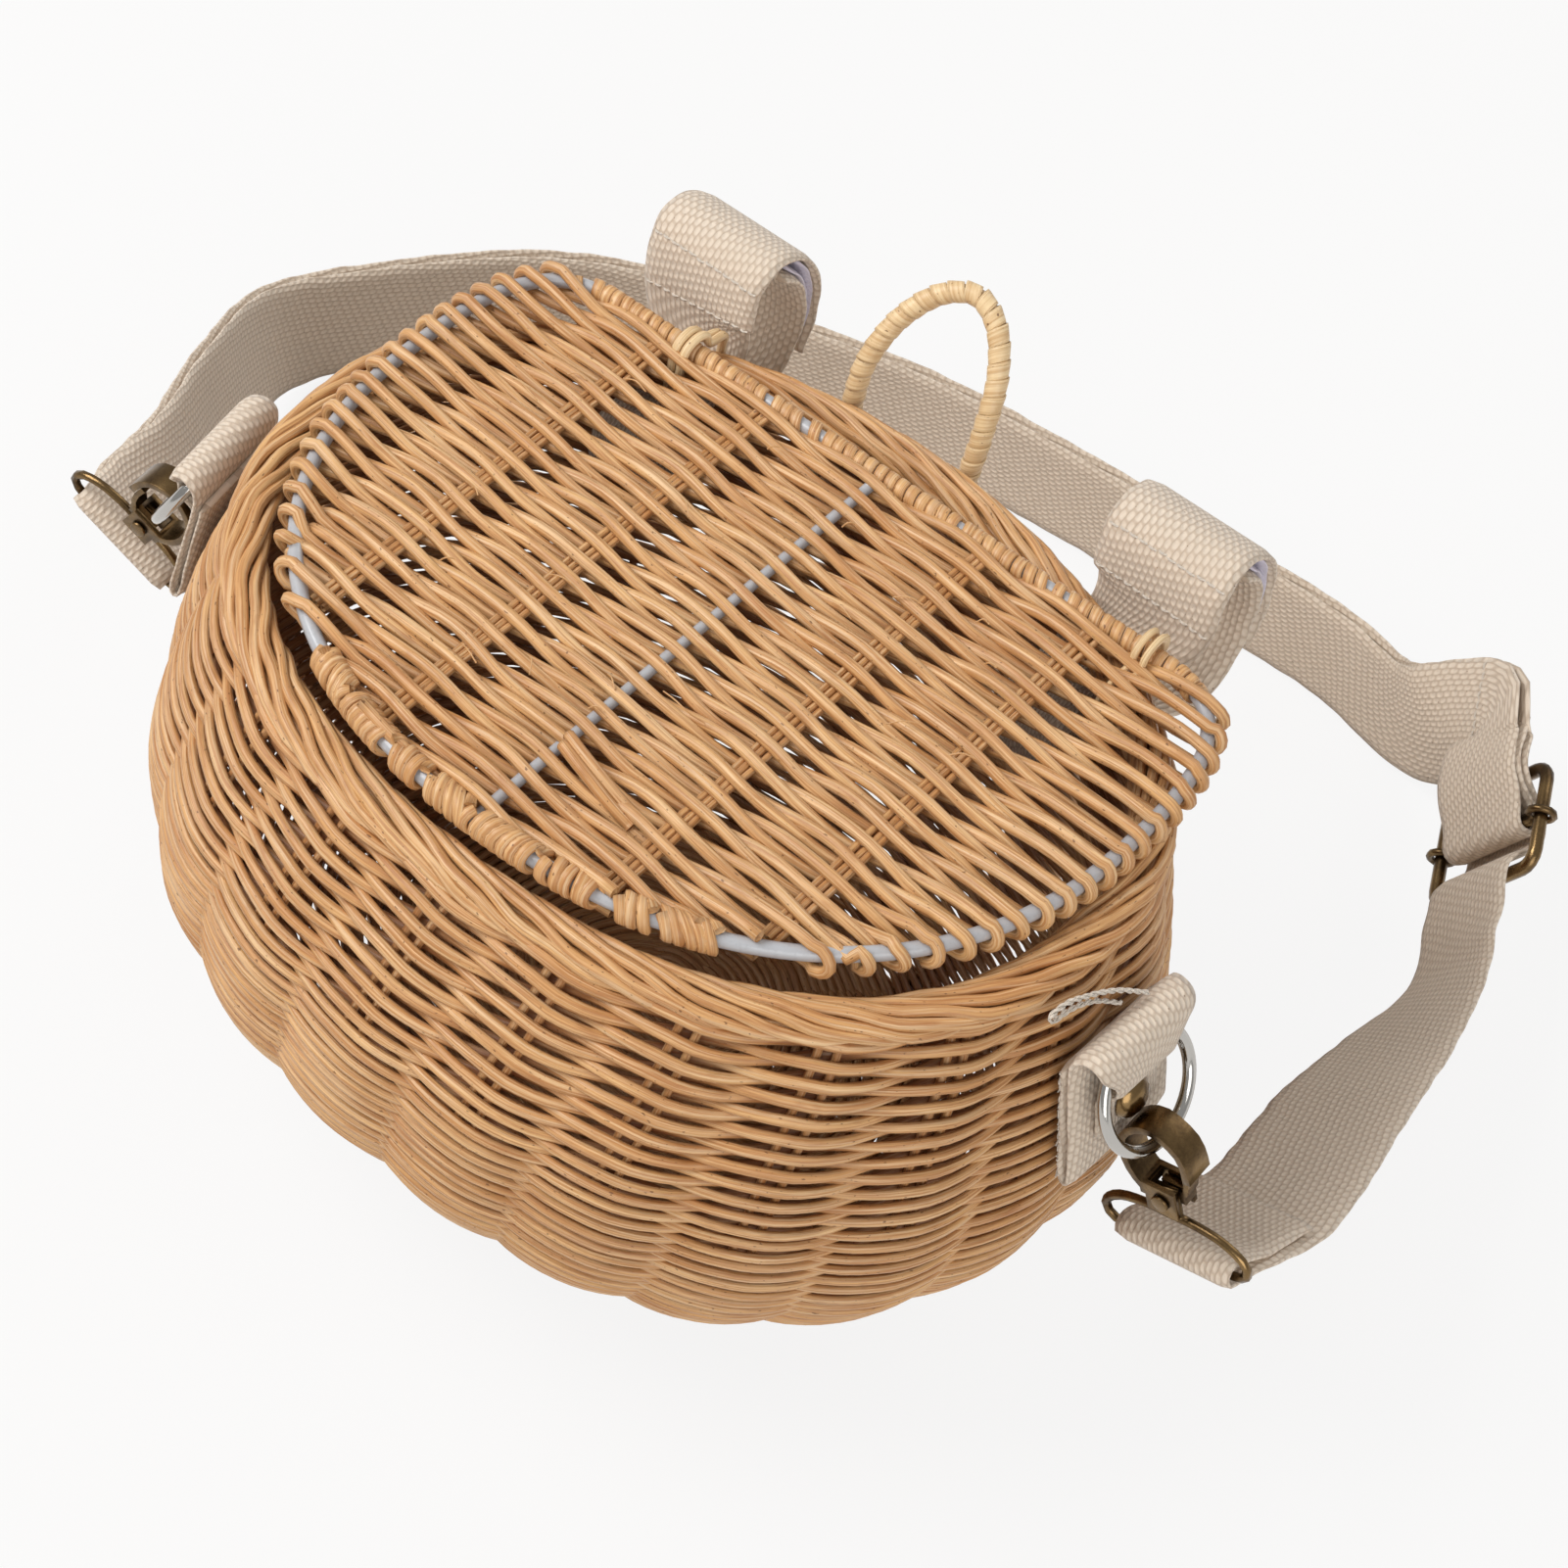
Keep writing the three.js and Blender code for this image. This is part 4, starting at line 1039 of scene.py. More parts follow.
    def border_rod(self, rng: np.random.Generator, start: float) -> Strand:
        """Makes one rod of the rolled border, from inside over the top to outside.

        Args:
            rng: The seeded source of small differences.
            start: Where it begins, as a share of the girth.

        Returns:
            The strand.
        """
        body = self.profile
        s = np.linspace(0, 1, 26)
        angle = body.angle_at(start + s * self.border_span / body.stakes)
        outward = body.flat_normal(angle)
        middle = body.point(0.0, angle) - outward * self.border_inset
        middle[:, 2] = self.border_mid
        wide, high = self.border_half
        first, swing = self.border_roll
        turn = np.radians(first - swing * (s + ripple(rng, s, 0.03, 0.4)))
        sink = np.clip(np.minimum(s, 1 - s) / 0.12, 0, 1) ** 0.5
        scale = 0.55 + 0.45 * sink + ripple(rng, s, 0.04, 0.3)
        x = wide * np.cos(turn) * scale
        z = high * np.sin(turn) * scale
        points = middle + outward * x[:, None]
        points[:, 2] += z
        radius = self.border_radius * (0.8 + 0.2 * sink) * (1 + 0.05 * rng.standard_normal())
        return Strand(points, radius, tone=rng.random(), up=outward)

    def build_border(self) -> None:
        """Rolls the border rods round two core rods along the rim."""
        rng = np.random.default_rng(SEED + 2)
        body = self.profile
        rods = [self.border_rod(rng, (k + rng.uniform(-0.12, 0.12)) / self.border_rods)
                for k in range(self.border_rods)]
        angle = body.angle_at(np.arange(160) / 160)
        outward = body.flat_normal(angle)
        for aside in (-self.core_aside, self.core_aside):
            middle = body.point(0.0, angle) - outward * (self.border_inset + aside)
            middle[:, 2] = self.border_mid - 0.4
            rods.append(Strand(middle, self.core_radius, closed=True, tone=0.9, up=outward))
        piece = strands_object("border_rods", rods)
        settle(piece, "basket", self.finishes.rattan, ["rim_border"])

    def build_base(self) -> None:
        """Weaves the base in rings, with every third stake carried to the middle."""
        rng = np.random.default_rng(SEED + 3)
        body = self.profile
        rods = []
        centre = np.array([0.0, body.centre_y + 7.0, self.base_height])
        rise, sway = self.base_wave
        for share in np.linspace(0.975, 0.06, self.base_rings):
            stakes = body.stakes if share > 0.45 else body.stakes // 3
            t = np.arange(2 * stakes * 8) / 8
            rim = body.point(1.0, body.angle_at(t / stakes + body.stake_phase))
            outward = unit((rim - centre) * [1, 1, 0])
            side = sway * np.sin(math.pi * t) + ripple(rng, t, 0.1, 3.0)
            points = (rim - centre) * share + centre + outward * side[:, None]
            points[:, 2] = self.base_height + rise * np.cos(math.pi * t)
            # Each base ring carries painted shade.
            rods.append(Strand(points, self.base_radius, closed=True, tone=rng.random(), flat=0.75,
                               up=np.tile([0.0, 0, 1], (len(t), 1)), painted_shade=0.35))
        for k in range(body.stakes):
            rim = body.point(1.0, body.angle_at(k / body.stakes + body.stake_phase))
            inner = 0.0 if k % 3 == 0 else 0.42
            points = centre + (rim - centre) * [1, 1, 0] * np.linspace(inner, 0.98, 9)[:, None]
            points[:, 2] = self.base_height
            rods.append(Strand(points, self.base_stake_radius, tone=rng.random()))
        piece = strands_object("base_weave", rods, 6)
        settle(piece, "basket", self.finishes.rattan, ["woven_base"])

    def build(self) -> None:
        """Builds the whole body."""
        self.build_wall()
        self.build_stakes()
        self.build_border()
        self.build_base()


@dataclass
class Lid:
    """The hinged lid: wire frame, centre bar, stakes, weave and wraps."""

    profile: BodyProfile
    finishes: Finishes
    half_width: float = 117.5
    depth: float = 155.0
    level: float = 173.8
    wire_radius: float = 2.0
    bar_radius: float = 1.5
    rod_radius: float = 1.6
    reach: float = 2.1
    rows: int = 23
    row_margins: tuple[float, float] = (4.6, 4.4)
    stake_pitch: float = 36.0
    stake_radius: float = 0.95
    wrap_half: float = 104.0
    front_wrap: tuple[float, float] = (-60.0, 72.0)
    front_power: float = 2.25
    straight_share: float = 0.3
    round_share: float = 0.7
    corners: tuple[tuple[float, float], ...] = (
        (117, -30), (114.4, -16), (108, -5.5), (98, -0.6), (88, 0), (72, 0), (48, 0), (24, 0))
    tail_course: tuple[tuple[float, float, float], ...] = (
        (1.4, -66.2, 178.7), (7.0, -68.0, 178.9), (14.0, -69.4, 177.8), (21.0, -70.2, 175.6),
        (27.0, -70.4, 173.6))
    tail_step: tuple[float, float, float] = (0.9, -3.1, -0.2)
    hair_count: int = 22
    hair_radius: float = 0.2
    long_hair: tuple[tuple[float, float, float], ...] = (
        (8.4, -39.4, 177.6), (13.2, -40.9, 179.6), (18.5, -41.4, 179.2), (22.0, -39.8, 177.4))

    def __post_init__(self) -> None:
        """Works out the wire's centre line."""
        self.back = self.profile.back_edge
        self.front_y = self.back - self.straight_share * self.depth
        power = 2 / self.front_power
        control = []
        for i in range(17):
            q = math.pi * (1 + i / 16)
            c, s = math.cos(q), math.sin(q)
            control.append([self.half_width * math.copysign(abs(c) ** power, c),
                            self.front_y - self.round_share * self.depth * abs(s) ** power, self.level])
        control += [[x, self.back + y, self.level] for x, y in self.corners]
        control.append([0.0, self.back, self.level])
        control += [[-x, self.back + y, self.level] for x, y in reversed(self.corners)]
        self.wire = smooth_path(control, 480, closed=True)

    def is_front_wrapped(self, x: float, y: float) -> bool:
        """Tells whether the wire is wrapped at a place of the front."""
        low, high = self.front_wrap
        return y < self.front_y and low < x < high

    def edges_at(self, y: float) -> list[tuple[float, float]]:
        """Finds the wire at both ends of a row.

        Args:
            y: The row's place.

        Returns:
            The wire's x and how steep it runs there, first at the left and then at the right.
        """
        found = []
        ways = directions(self.wire, True)
        for sign in (-1, 1):
            side = np.where(self.wire[:, 0] * sign > 0)[0]
            near = side[np.argmin(np.abs(self.wire[side, 1] - y) - 0.002 * np.abs(self.wire[side, 0]))]
            found.append((self.wire[near, 0], max(abs(ways[near, 1]), 0.45)))
        return found

    def half_row(self, t_end: float, sign: int, rise: float) -> tuple[np.ndarray, np.ndarray, np.ndarray]:
        """Shapes one rod of a row from the middle to one edge.

        Args:
            t_end: The edge's place in stake pitches.
            sign: 1 for the rod that passes above the middle bar, -1 for the other.
            rise: How far the pair stands apart where it crosses.

        Returns:
            Places in stake pitches, heights and offsets along y.
        """
        t = np.linspace(0, t_end, max(6, int(t_end * 9)))
        last = math.floor(t_end - 0.3) + 0.5 if t_end > 0.8 else 0.5
        last = min(last, 2.5)
        woven = t <= last
        turn = math.pi * np.minimum(t, last)
        crossing = -math.sin(math.pi * last)
        quarter = np.clip((t - last) / max(t_end - last, 1e-3), 0, 1) * math.pi / 2
        around = self.wire_radius + self.rod_radius
        height = np.where(woven, self.reach * np.cos(turn), crossing * np.sin(quarter) * around)
        offset = np.where(woven, -rise * np.sin(turn), rise * crossing * np.cos(quarter))
        return t, sign * height, sign * offset

    def bend(self, rng: np.random.Generator, y: float, edge: tuple[float, float], way: int,
             from_top: bool) -> np.ndarray:
        """Bends a rod round the wire at the end of a row.

        Args:
            rng: The seeded source of small differences.
            y: The row's place.
            edge: The wire's x and how steep it runs there.
            way: 1 at the right edge, -1 at the left one.
            from_top: Whether the bend begins above the wire.

        Returns:
            The points of the bend.
        """
        x, steep = edge
        q = np.linspace(math.pi / 2, -math.pi / 2, 9)[1:-1]
        if not from_top:
            q = -q
        lean = rng.uniform(-0.9, 0.9)
        around = self.wire_radius + self.rod_radius
        return np.column_stack([x + way * around / steep * np.cos(q), y + lean * np.sin(q),
                                self.level + around * np.sin(q)])

    def row(self, rng: np.random.Generator, y: float) -> list[Strand]:
        """Weaves one row of two rods, looped round the wire where it is open.

        Args:
            rng: The seeded source of small differences.
            y: The row's place.

        Returns:
            The strands of the row.
        """
        left, right = self.edges_at(y)
        rise = 1.68 + rng.uniform(-0.12, 0.12)
        tone = rng.random()
        rods = []
        for sign in (1, -1):
            halves = []
            for way, (edge, _) in ((-1, left), (1, right)):
                t, height, offset = self.half_row(abs(edge) / self.stake_pitch, sign, rise)
                halves.append(np.column_stack([way * t * self.stake_pitch, offset * way, height]))
            rods.append(np.vstack([halves[0][::-1], halves[1][1:]]))
        for rod in rods:
            rod[:, 1] += y + ripple(rng, rod[:, 0], 0.42, 47.0)
            rod[:, 2] += self.level
        first, second = rods
        open_left, open_right = (not self.is_front_wrapped(edge, y) and y < self.back - 3.5
                                 for edge, _ in (left, right))
        if open_right:
            path = [first, self.bend(rng, y, right, 1, first[-1, 2] > self.level), second[::-1]]
            if open_left:
                path.append(self.bend(rng, y, left, -1, second[0, 2] > self.level))
            return [Strand(np.vstack(path), self.rod_radius, closed=open_left, tone=tone)]
        if open_left:
            path = [first[::-1], self.bend(rng, y, left, -1, first[0, 2] > self.level), second]
            return [Strand(np.vstack(path), self.rod_radius, tone=tone)]
        return [Strand(rod, self.rod_radius, tone=tone) for rod in rods]

    def build_weave(self) -> None:
        """Weaves the lid from back to front, with its loose ends."""
        rng = np.random.default_rng(SEED + 10)
        behind, before = self.row_margins
        ys = np.linspace(self.back - behind, self.back - self.depth + before, self.rows)
        strands = [strand for y in ys for strand in self.row(rng, float(y))]
        strands += self.tails() + self.hairs()
        piece = strands_object("lid_weave_rods", strands)
        settle(piece, "lid", self.finishes.rattan, ["lid_weave"])

    def tails(self) -> list[Strand]:
        """Lays the two cut rod ends that stick out of the weave by the middle bar."""
        course = smooth_path(self.tail_course, 24)
        return [Strand(course + np.array(self.tail_step) * k, 1.5, tone=0.85, start=40.0 * k) for k in (0, 1)]

    def hairs(self) -> list[Strand]:
        """Splits a few thin fibres off the rods.

        Returns:
            The fibres.
        """
        rng = np.random.default_rng(SEED + 12)
        found = [self.long_hair]
        for _ in range(self.hair_count):
            x, y = rng.uniform(-88, 88), rng.uniform(-62, 44)
            way, length = rng.uniform(-0.9, 0.9), rng.uniform(3.0, 8.0)
            step = np.array([math.cos(way), math.sin(way), 0]) * length
            foot = np.array([x, y, 176.8])
            peak = foot + 0.5 * step + (0, rng.uniform(-0.8, 0.8), 1.7)
            found.append([foot, peak, foot + step + (0, 0, 0.9)])
        return [Strand(smooth_path(path, 8), self.hair_radius, tone=0.1) for path in found]

    def front_at(self, x: float) -> float:
        """Finds the front wire's y at a given x."""
        front = self.wire[self.wire[:, 1] < self.front_y + 20]
        return float(front[np.argmin(np.abs(front[:, 0] - x)), 1])

    def build_stakes(self) -> None:
        """Lays three thin rods for each lid stake, and the bar of wire in the middle."""
        rng = np.random.default_rng(SEED + 11)
        rods = []
        for x in (k * self.stake_pitch for k in (-2, -1, 1, 2)):
            for aside in (-2 * self.stake_radius, 0.0, 2 * self.stake_radius):
                y = np.linspace(self.back - 3.0, self.front_at(x) + 3.5, 24)
                sway = ripple(rng, y, 0.25, 60.0)
                points = np.column_stack([x + aside + sway, y, np.full_like(y, self.level)])
                rods.append(Strand(points, self.stake_radius, tone=0.3 + 0.7 * rng.random()))
        nodes = [f"lid_stake_{k}" for k in range(1, 5)]
        piece = strands_object("lid_stake_rods", rods, 7)
        settle(piece, "lid", self.finishes.rattan, nodes)
        y = np.linspace(self.back - 0.5, self.back - self.depth + 0.5, 16)
        bar = Strand(np.column_stack([np.zeros_like(y), y, np.full_like(y, self.level)]), self.bar_radius)
        piece = strands_object("lid_middle_bar", [bar], 12)
        settle(piece, "lid", self.finishes.wire, ["lid_center_bar"])

    def build_wire(self) -> None:
        """Bends the frame wire."""
        piece = strands_object("lid_wire_frame", [Strand(self.wire[::2], self.wire_radius, closed=True)], 12)
        settle(piece, "lid", self.finishes.wire, ["lid_frame_wire"])

    def wound(self, run: np.ndarray, marks: np.ndarray, radius: float, width: float, flat: float,
              lean: np.ndarray, tone: float) -> Strand:
        """Winds one cane round a run of wire.

        Args:
            run: The wire's centre line.
            marks: Where each turn begins, as a length along the run.
            radius: The distance from the wire's middle to the cane's middle.
            width: Half the cane's width.
            flat: Its thickness as a share of its width.
            lean: How far each turn leans along the wire.
            tone: Its shade.

        Returns:
            The strand.
        """
        reach = distance_along(run)
        per_turn = 12
        turns = np.arange((len(marks) - 1) * per_turn + 1) / per_turn
        place = np.interp(turns, np.arange(len(marks)), marks)
        tilt = np.interp(turns, np.arange(len(marks)), lean)
        theta = turns * 2 * math.pi
        place = np.clip(place + tilt * np.sin(theta), 0, reach[-1])
        centre = read_along(run, reach, place)
        way = unit(read_along(directions(run), reach, place))
        up = np.tile([0.0, 0, 1], (len(turns), 1))
        aside = unit(np.cross(way, up))
        outward = np.sin(theta)[:, None] * aside + np.cos(theta)[:, None] * up
        return Strand(centre + outward * radius, width, tone=tone, flat=flat, up=outward, square=0.62)

    def build_wraps(self) -> None:
        """Winds flat cane along the back and rods along the front."""
        rng = np.random.default_rng(SEED + 12)
        back = self.wire[(self.wire[:, 1] > self.back - 4) & (np.abs(self.wire[:, 0]) < self.wrap_half)]
        back = back[np.argsort(back[:, 0])]
        length = distance_along(back)[-1]
        steps = np.where(rng.random(90) < 0.1, rng.uniform(4.8, 7.0, 90), rng.uniform(3.1, 3.6, 90))
        marks = np.concatenate([[0], np.cumsum(steps)])
        marks = marks[marks < length]
        lean = rng.uniform(-0.5, 0.5, len(marks))
        cane = self.wound(back, marks, self.wire_radius + 0.6, 1.62, 0.4, lean, 0.3)
        settle(strands_object("lid_back_cane", [cane], 8), "lid", self.finishes.rattan,
               ["lid_back_wrap"])
        front = np.array([point for point in self.wire if self.is_front_wrapped(*point[:2])])
        front = front[np.argsort(np.arctan2(front[:, 1] - self.front_y, front[:, 0]))]
        reach = distance_along(front)
        strands = []
        place = 0.0
        while place < reach[-1] - 8:
            turns = int(rng.integers(3, 8))
            steps = rng.uniform(2.3, 3.4, turns)
            marks = place + np.concatenate([[0], np.cumsum(steps)])
            marks = marks[marks < reach[-1]]
            if len(marks) < 3:
                break
            slope = rng.uniform(0.3, 2.4) * (1 if rng.random() < 0.6 else -1)
            lean = slope + rng.uniform(-1.0, 1.0, len(marks))
            strands.append(self.wound(front, marks, self.wire_radius + 1.15, 1.55, 0.68, lean, rng.random()))
            place = marks[-1] + rng.uniform(0.6, 4.6)
        settle(strands_object("lid_front_cane", strands, 7), "lid", self.finishes.rattan,
               ["lid_front_wrap"])

    def build(self) -> None:
        """Builds the whole lid."""
        self.build_wire()
        self.build_stakes()
        self.build_weave()
        self.build_wraps()


@dataclass
class CaneFittings:
    """The cane ties of the lid and the wrapped hanging loop on the back."""

    profile: BodyProfile
    finishes: Finishes
    tie_x: tuple[float, float] = (-65.0, 86.0)
    tie_radius: float = 1.3
    tie_lap: float = 1.5
    tie_cross: float = 3.0
    axis_height: float = 3.8
    border_half: float = 6.0
    border_height: float = 10.0
    border_inset: float = 2.3
    border_gap: float = 0.35
    core_radius: float = 2.3
    wind_pitch: tuple[float, float] = (4.4, 4.75)
    loop_course: tuple[tuple[float, float, float], ...] = (
        (-29, 5, -24), (-29, 20, -24), (-29, 26.6, -20.5), (-29.2, 27.6, -9), (-29, 31, 5),
        (-25.5, 39, 18), (-18, 46, 27), (-9.5, 48.5, 30), (-1, 46, 27), (6.5, 39, 18), (10, 31, 5),
        (10.2, 27.6, -9), (10, 26.6, -20.5), (10, 20, -24), (10, 5, -24))

    def border_middle(self, x: float) -> tuple[np.ndarray, np.ndarray]:
        """Finds the border at a given x on the back.

        Args:
            x: The place along the back.

        Returns:
            The border's middle and its outward direction.
        """
        angle = np.linspace(0.01, math.pi - 0.01, 900)
        outward = self.profile.flat_normal(angle)
        middle = self.profile.point(0.0, angle) - outward * self.border_inset
        near = int(np.argmin(np.abs(middle[:, 0] - x)))
        return middle[near], outward[near]

    def tie_turn(self, x: float) -> list[tuple[float, float]]:
        """Shapes one turn of a tie, over the lid's wire and under the border.

        Args:
            x: The tie's place along the back.

        Returns:
            Its corners, each with y from the back edge and the height above the rim.
        """
        back = self.profile.back_edge
        middle, outward = self.border_middle(x)
        spread = self.border_half / max(outward[1], 0.3) + abs(outward[0] / outward[1]) * 2.6
        off = spread + self.border_gap + self.tie_radius + 0.2
        front = min(middle[1] - off - back, -6.2)
        rear = middle[1] + off - back
        low = -self.border_height - self.border_gap - self.tie_radius
        axis = self.axis_height
        return [(5.5, axis), (4.1, axis + 4.1), (0, axis + 5.6), (-4.1, axis + 4.1), (-5.5, axis),
                (front + 0.5, 1.7), (front, -2.6), (front, -8), (front + 2.4, low),
                ((front + rear) / 2, low), (rear - 2.4, low), (rear, -8), (rear, -2.6),
                (max(rear, 5.6) - 0.6, 1.2)]

    def build_ties(self) -> None:
        """Loops each tie twice round the lid's wire and the border."""
        rng = np.random.default_rng(SEED + 20)
        back, rim = self.profile.back_edge, self.profile.rim_height
        for side, x in zip(Side, self.tie_x):
            turn = self.tie_turn(x)
            twice = []
            for lap, sign in ((0, -1), (1, 1)):
                for i, (y, z) in enumerate(turn):
                    slide = sign * self.tie_lap - sign * self.tie_cross * max(0.0, i - 9) / (len(turn) - 9)
                    height = rim + z + 0.1 * rng.standard_normal()
                    twice.append([x + slide, back + y * (1 + 0.006 * lap), height])
            path = smooth_path(twice, 110, closed=True)
            cane = Strand(path, 1.35, closed=True, tone=0.2, flat=0.75)
            settle(strands_object(f"hinge_cane_{side.value}", [cane], 8), "basket",
                   self.finishes.cane, [f"hinge_tie_{side.value}"])

    def build_hanging_loop(self) -> None:
        """Winds cane round the core of the hanging loop."""
        rng = np.random.default_rng(SEED + 21)
        foot = np.array([0.0, self.profile.back_edge, self.profile.rim_height])
        path = smooth_path(np.array(self.loop_course) + foot, 220)
        core = Strand(path, self.core_radius, tone=0.6)
        reach = distance_along(path)
        way = directions(path)
        up = transported(path, False)
        marks = np.concatenate([[0], np.cumsum(rng.uniform(*self.wind_pitch, 60))])
        marks = marks[marks < reach[-1] - 0.5]
        per_turn = 16
        turns = np.arange((len(marks) - 1) * per_turn + 1) / per_turn
        place = np.interp(turns, np.arange(len(marks)), marks)
        theta = (turns * 2 * math.pi)[:, None]
        outward = unit(np.sin(theta) * read_along(np.cross(way, up), reach, place)
                       + np.cos(theta) * read_along(up, reach, place))
        tilted = unit(outward + 0.1 * unit(read_along(way, reach, place)))
        cane = Strand(read_along(path, reach, place) + outward * 2.62, 2.42, tone=0.15, flat=0.15, up=tilted,
                      square=0.5)
        settle(strands_object("hanging_loop_cane", [core, cane], 8), "basket",
               self.finishes.cane, ["hanging_loop"])

    def build(self) -> None:
        """Builds the cane fittings."""
        self.build_ties()
        self.build_hanging_loop()


@dataclass
class Strip:
    """The course of a flat strip: its middle, which way its width lies and half its width."""

    middle: np.ndarray
    width: np.ndarray
    half: np.ndarray

    @staticmethod
    def neighbours(vertex: bmesh.types.BMVert) -> list[bmesh.types.BMVert]:
        """Lists the vertices that share an edge with this one."""
        return [edge.other_vert(vertex) for edge in vertex.link_edges]

    @classmethod
    def of_node(cls, node: bpy.types.Object) -> "Strip":
        """Reads the course of a strip from a CAD node, ring by ring from one end.

        Args:
            node: A CAD node that is a loft of four-cornered rings.

        Returns:
            The strip.
        """
        copy = bmesh.new()
        copy.from_mesh(node.data)
        bmesh.ops.remove_doubles(copy, verts=copy.verts, dist=1e-6)
        ends = [v for v in copy.verts if len(v.link_edges) == 4
                and (sum((n.co for n in cls.neighbours(v)), Vector()) / 4 - v.co).length < 1e-5]
        ends.sort(key=lambda v: tuple(round(c, 5) for c in v.co))
        rings, seen, ring = [], {ends[0]}, cls.neighbours(ends[0])
        while len(ring) == 4:
            seen.update(ring)
            rings.append(np.array([v.co[:] for v in ring]) / MM)
            ring = list({n for v in ring for n in cls.neighbours(v)} - seen)
        copy.free()
        middle, width, half = [], [], []
        for corners in rings:
            centre = corners.mean(0)
            _, _, axes = np.linalg.svd(corners - centre)
            axis = axes[0] if not width or axes[0].dot(width[-1]) > 0 else -axes[0]
            middle.append(centre)
            width.append(axis)
            half.append(np.abs((corners - centre) @ axis).max())
        return cls(np.array(middle), np.array(width), np.array(half))

    def refined(self, step: float) -> "Strip":
        """Spaces the strip's points evenly.

        Args:
            step: The distance between points.

        Returns:
            The finer strip.
        """
        joined = np.column_stack([self.middle, self.width * 2, self.half])
        rough = distance_along(self.middle)
        count = max(8, int(rough[-1] / step))
        parts = smooth_path(joined, count * 2)
        reach = distance_along(parts[:, :3])
        even = read_along(parts, reach, np.linspace(0, reach[-1], count))
        return Strip(even[:, :3], unit(even[:, 3:6]), even[:, 6])

    def length(self) -> float:
        """Gives the strip's length in metres."""
        return float(distance_along(self.middle)[-1]) * MM


@dataclass(frozen=True)
class ClothPlan:
    """One strip of cloth: its CAD node and slot, its sizes, how it is held and what it rests on."""

    node: str
    slot: Slot
    thickness: float
    flat_width: float
    held: str
    rests_on: tuple[str, ...]
    step: float = 1.2


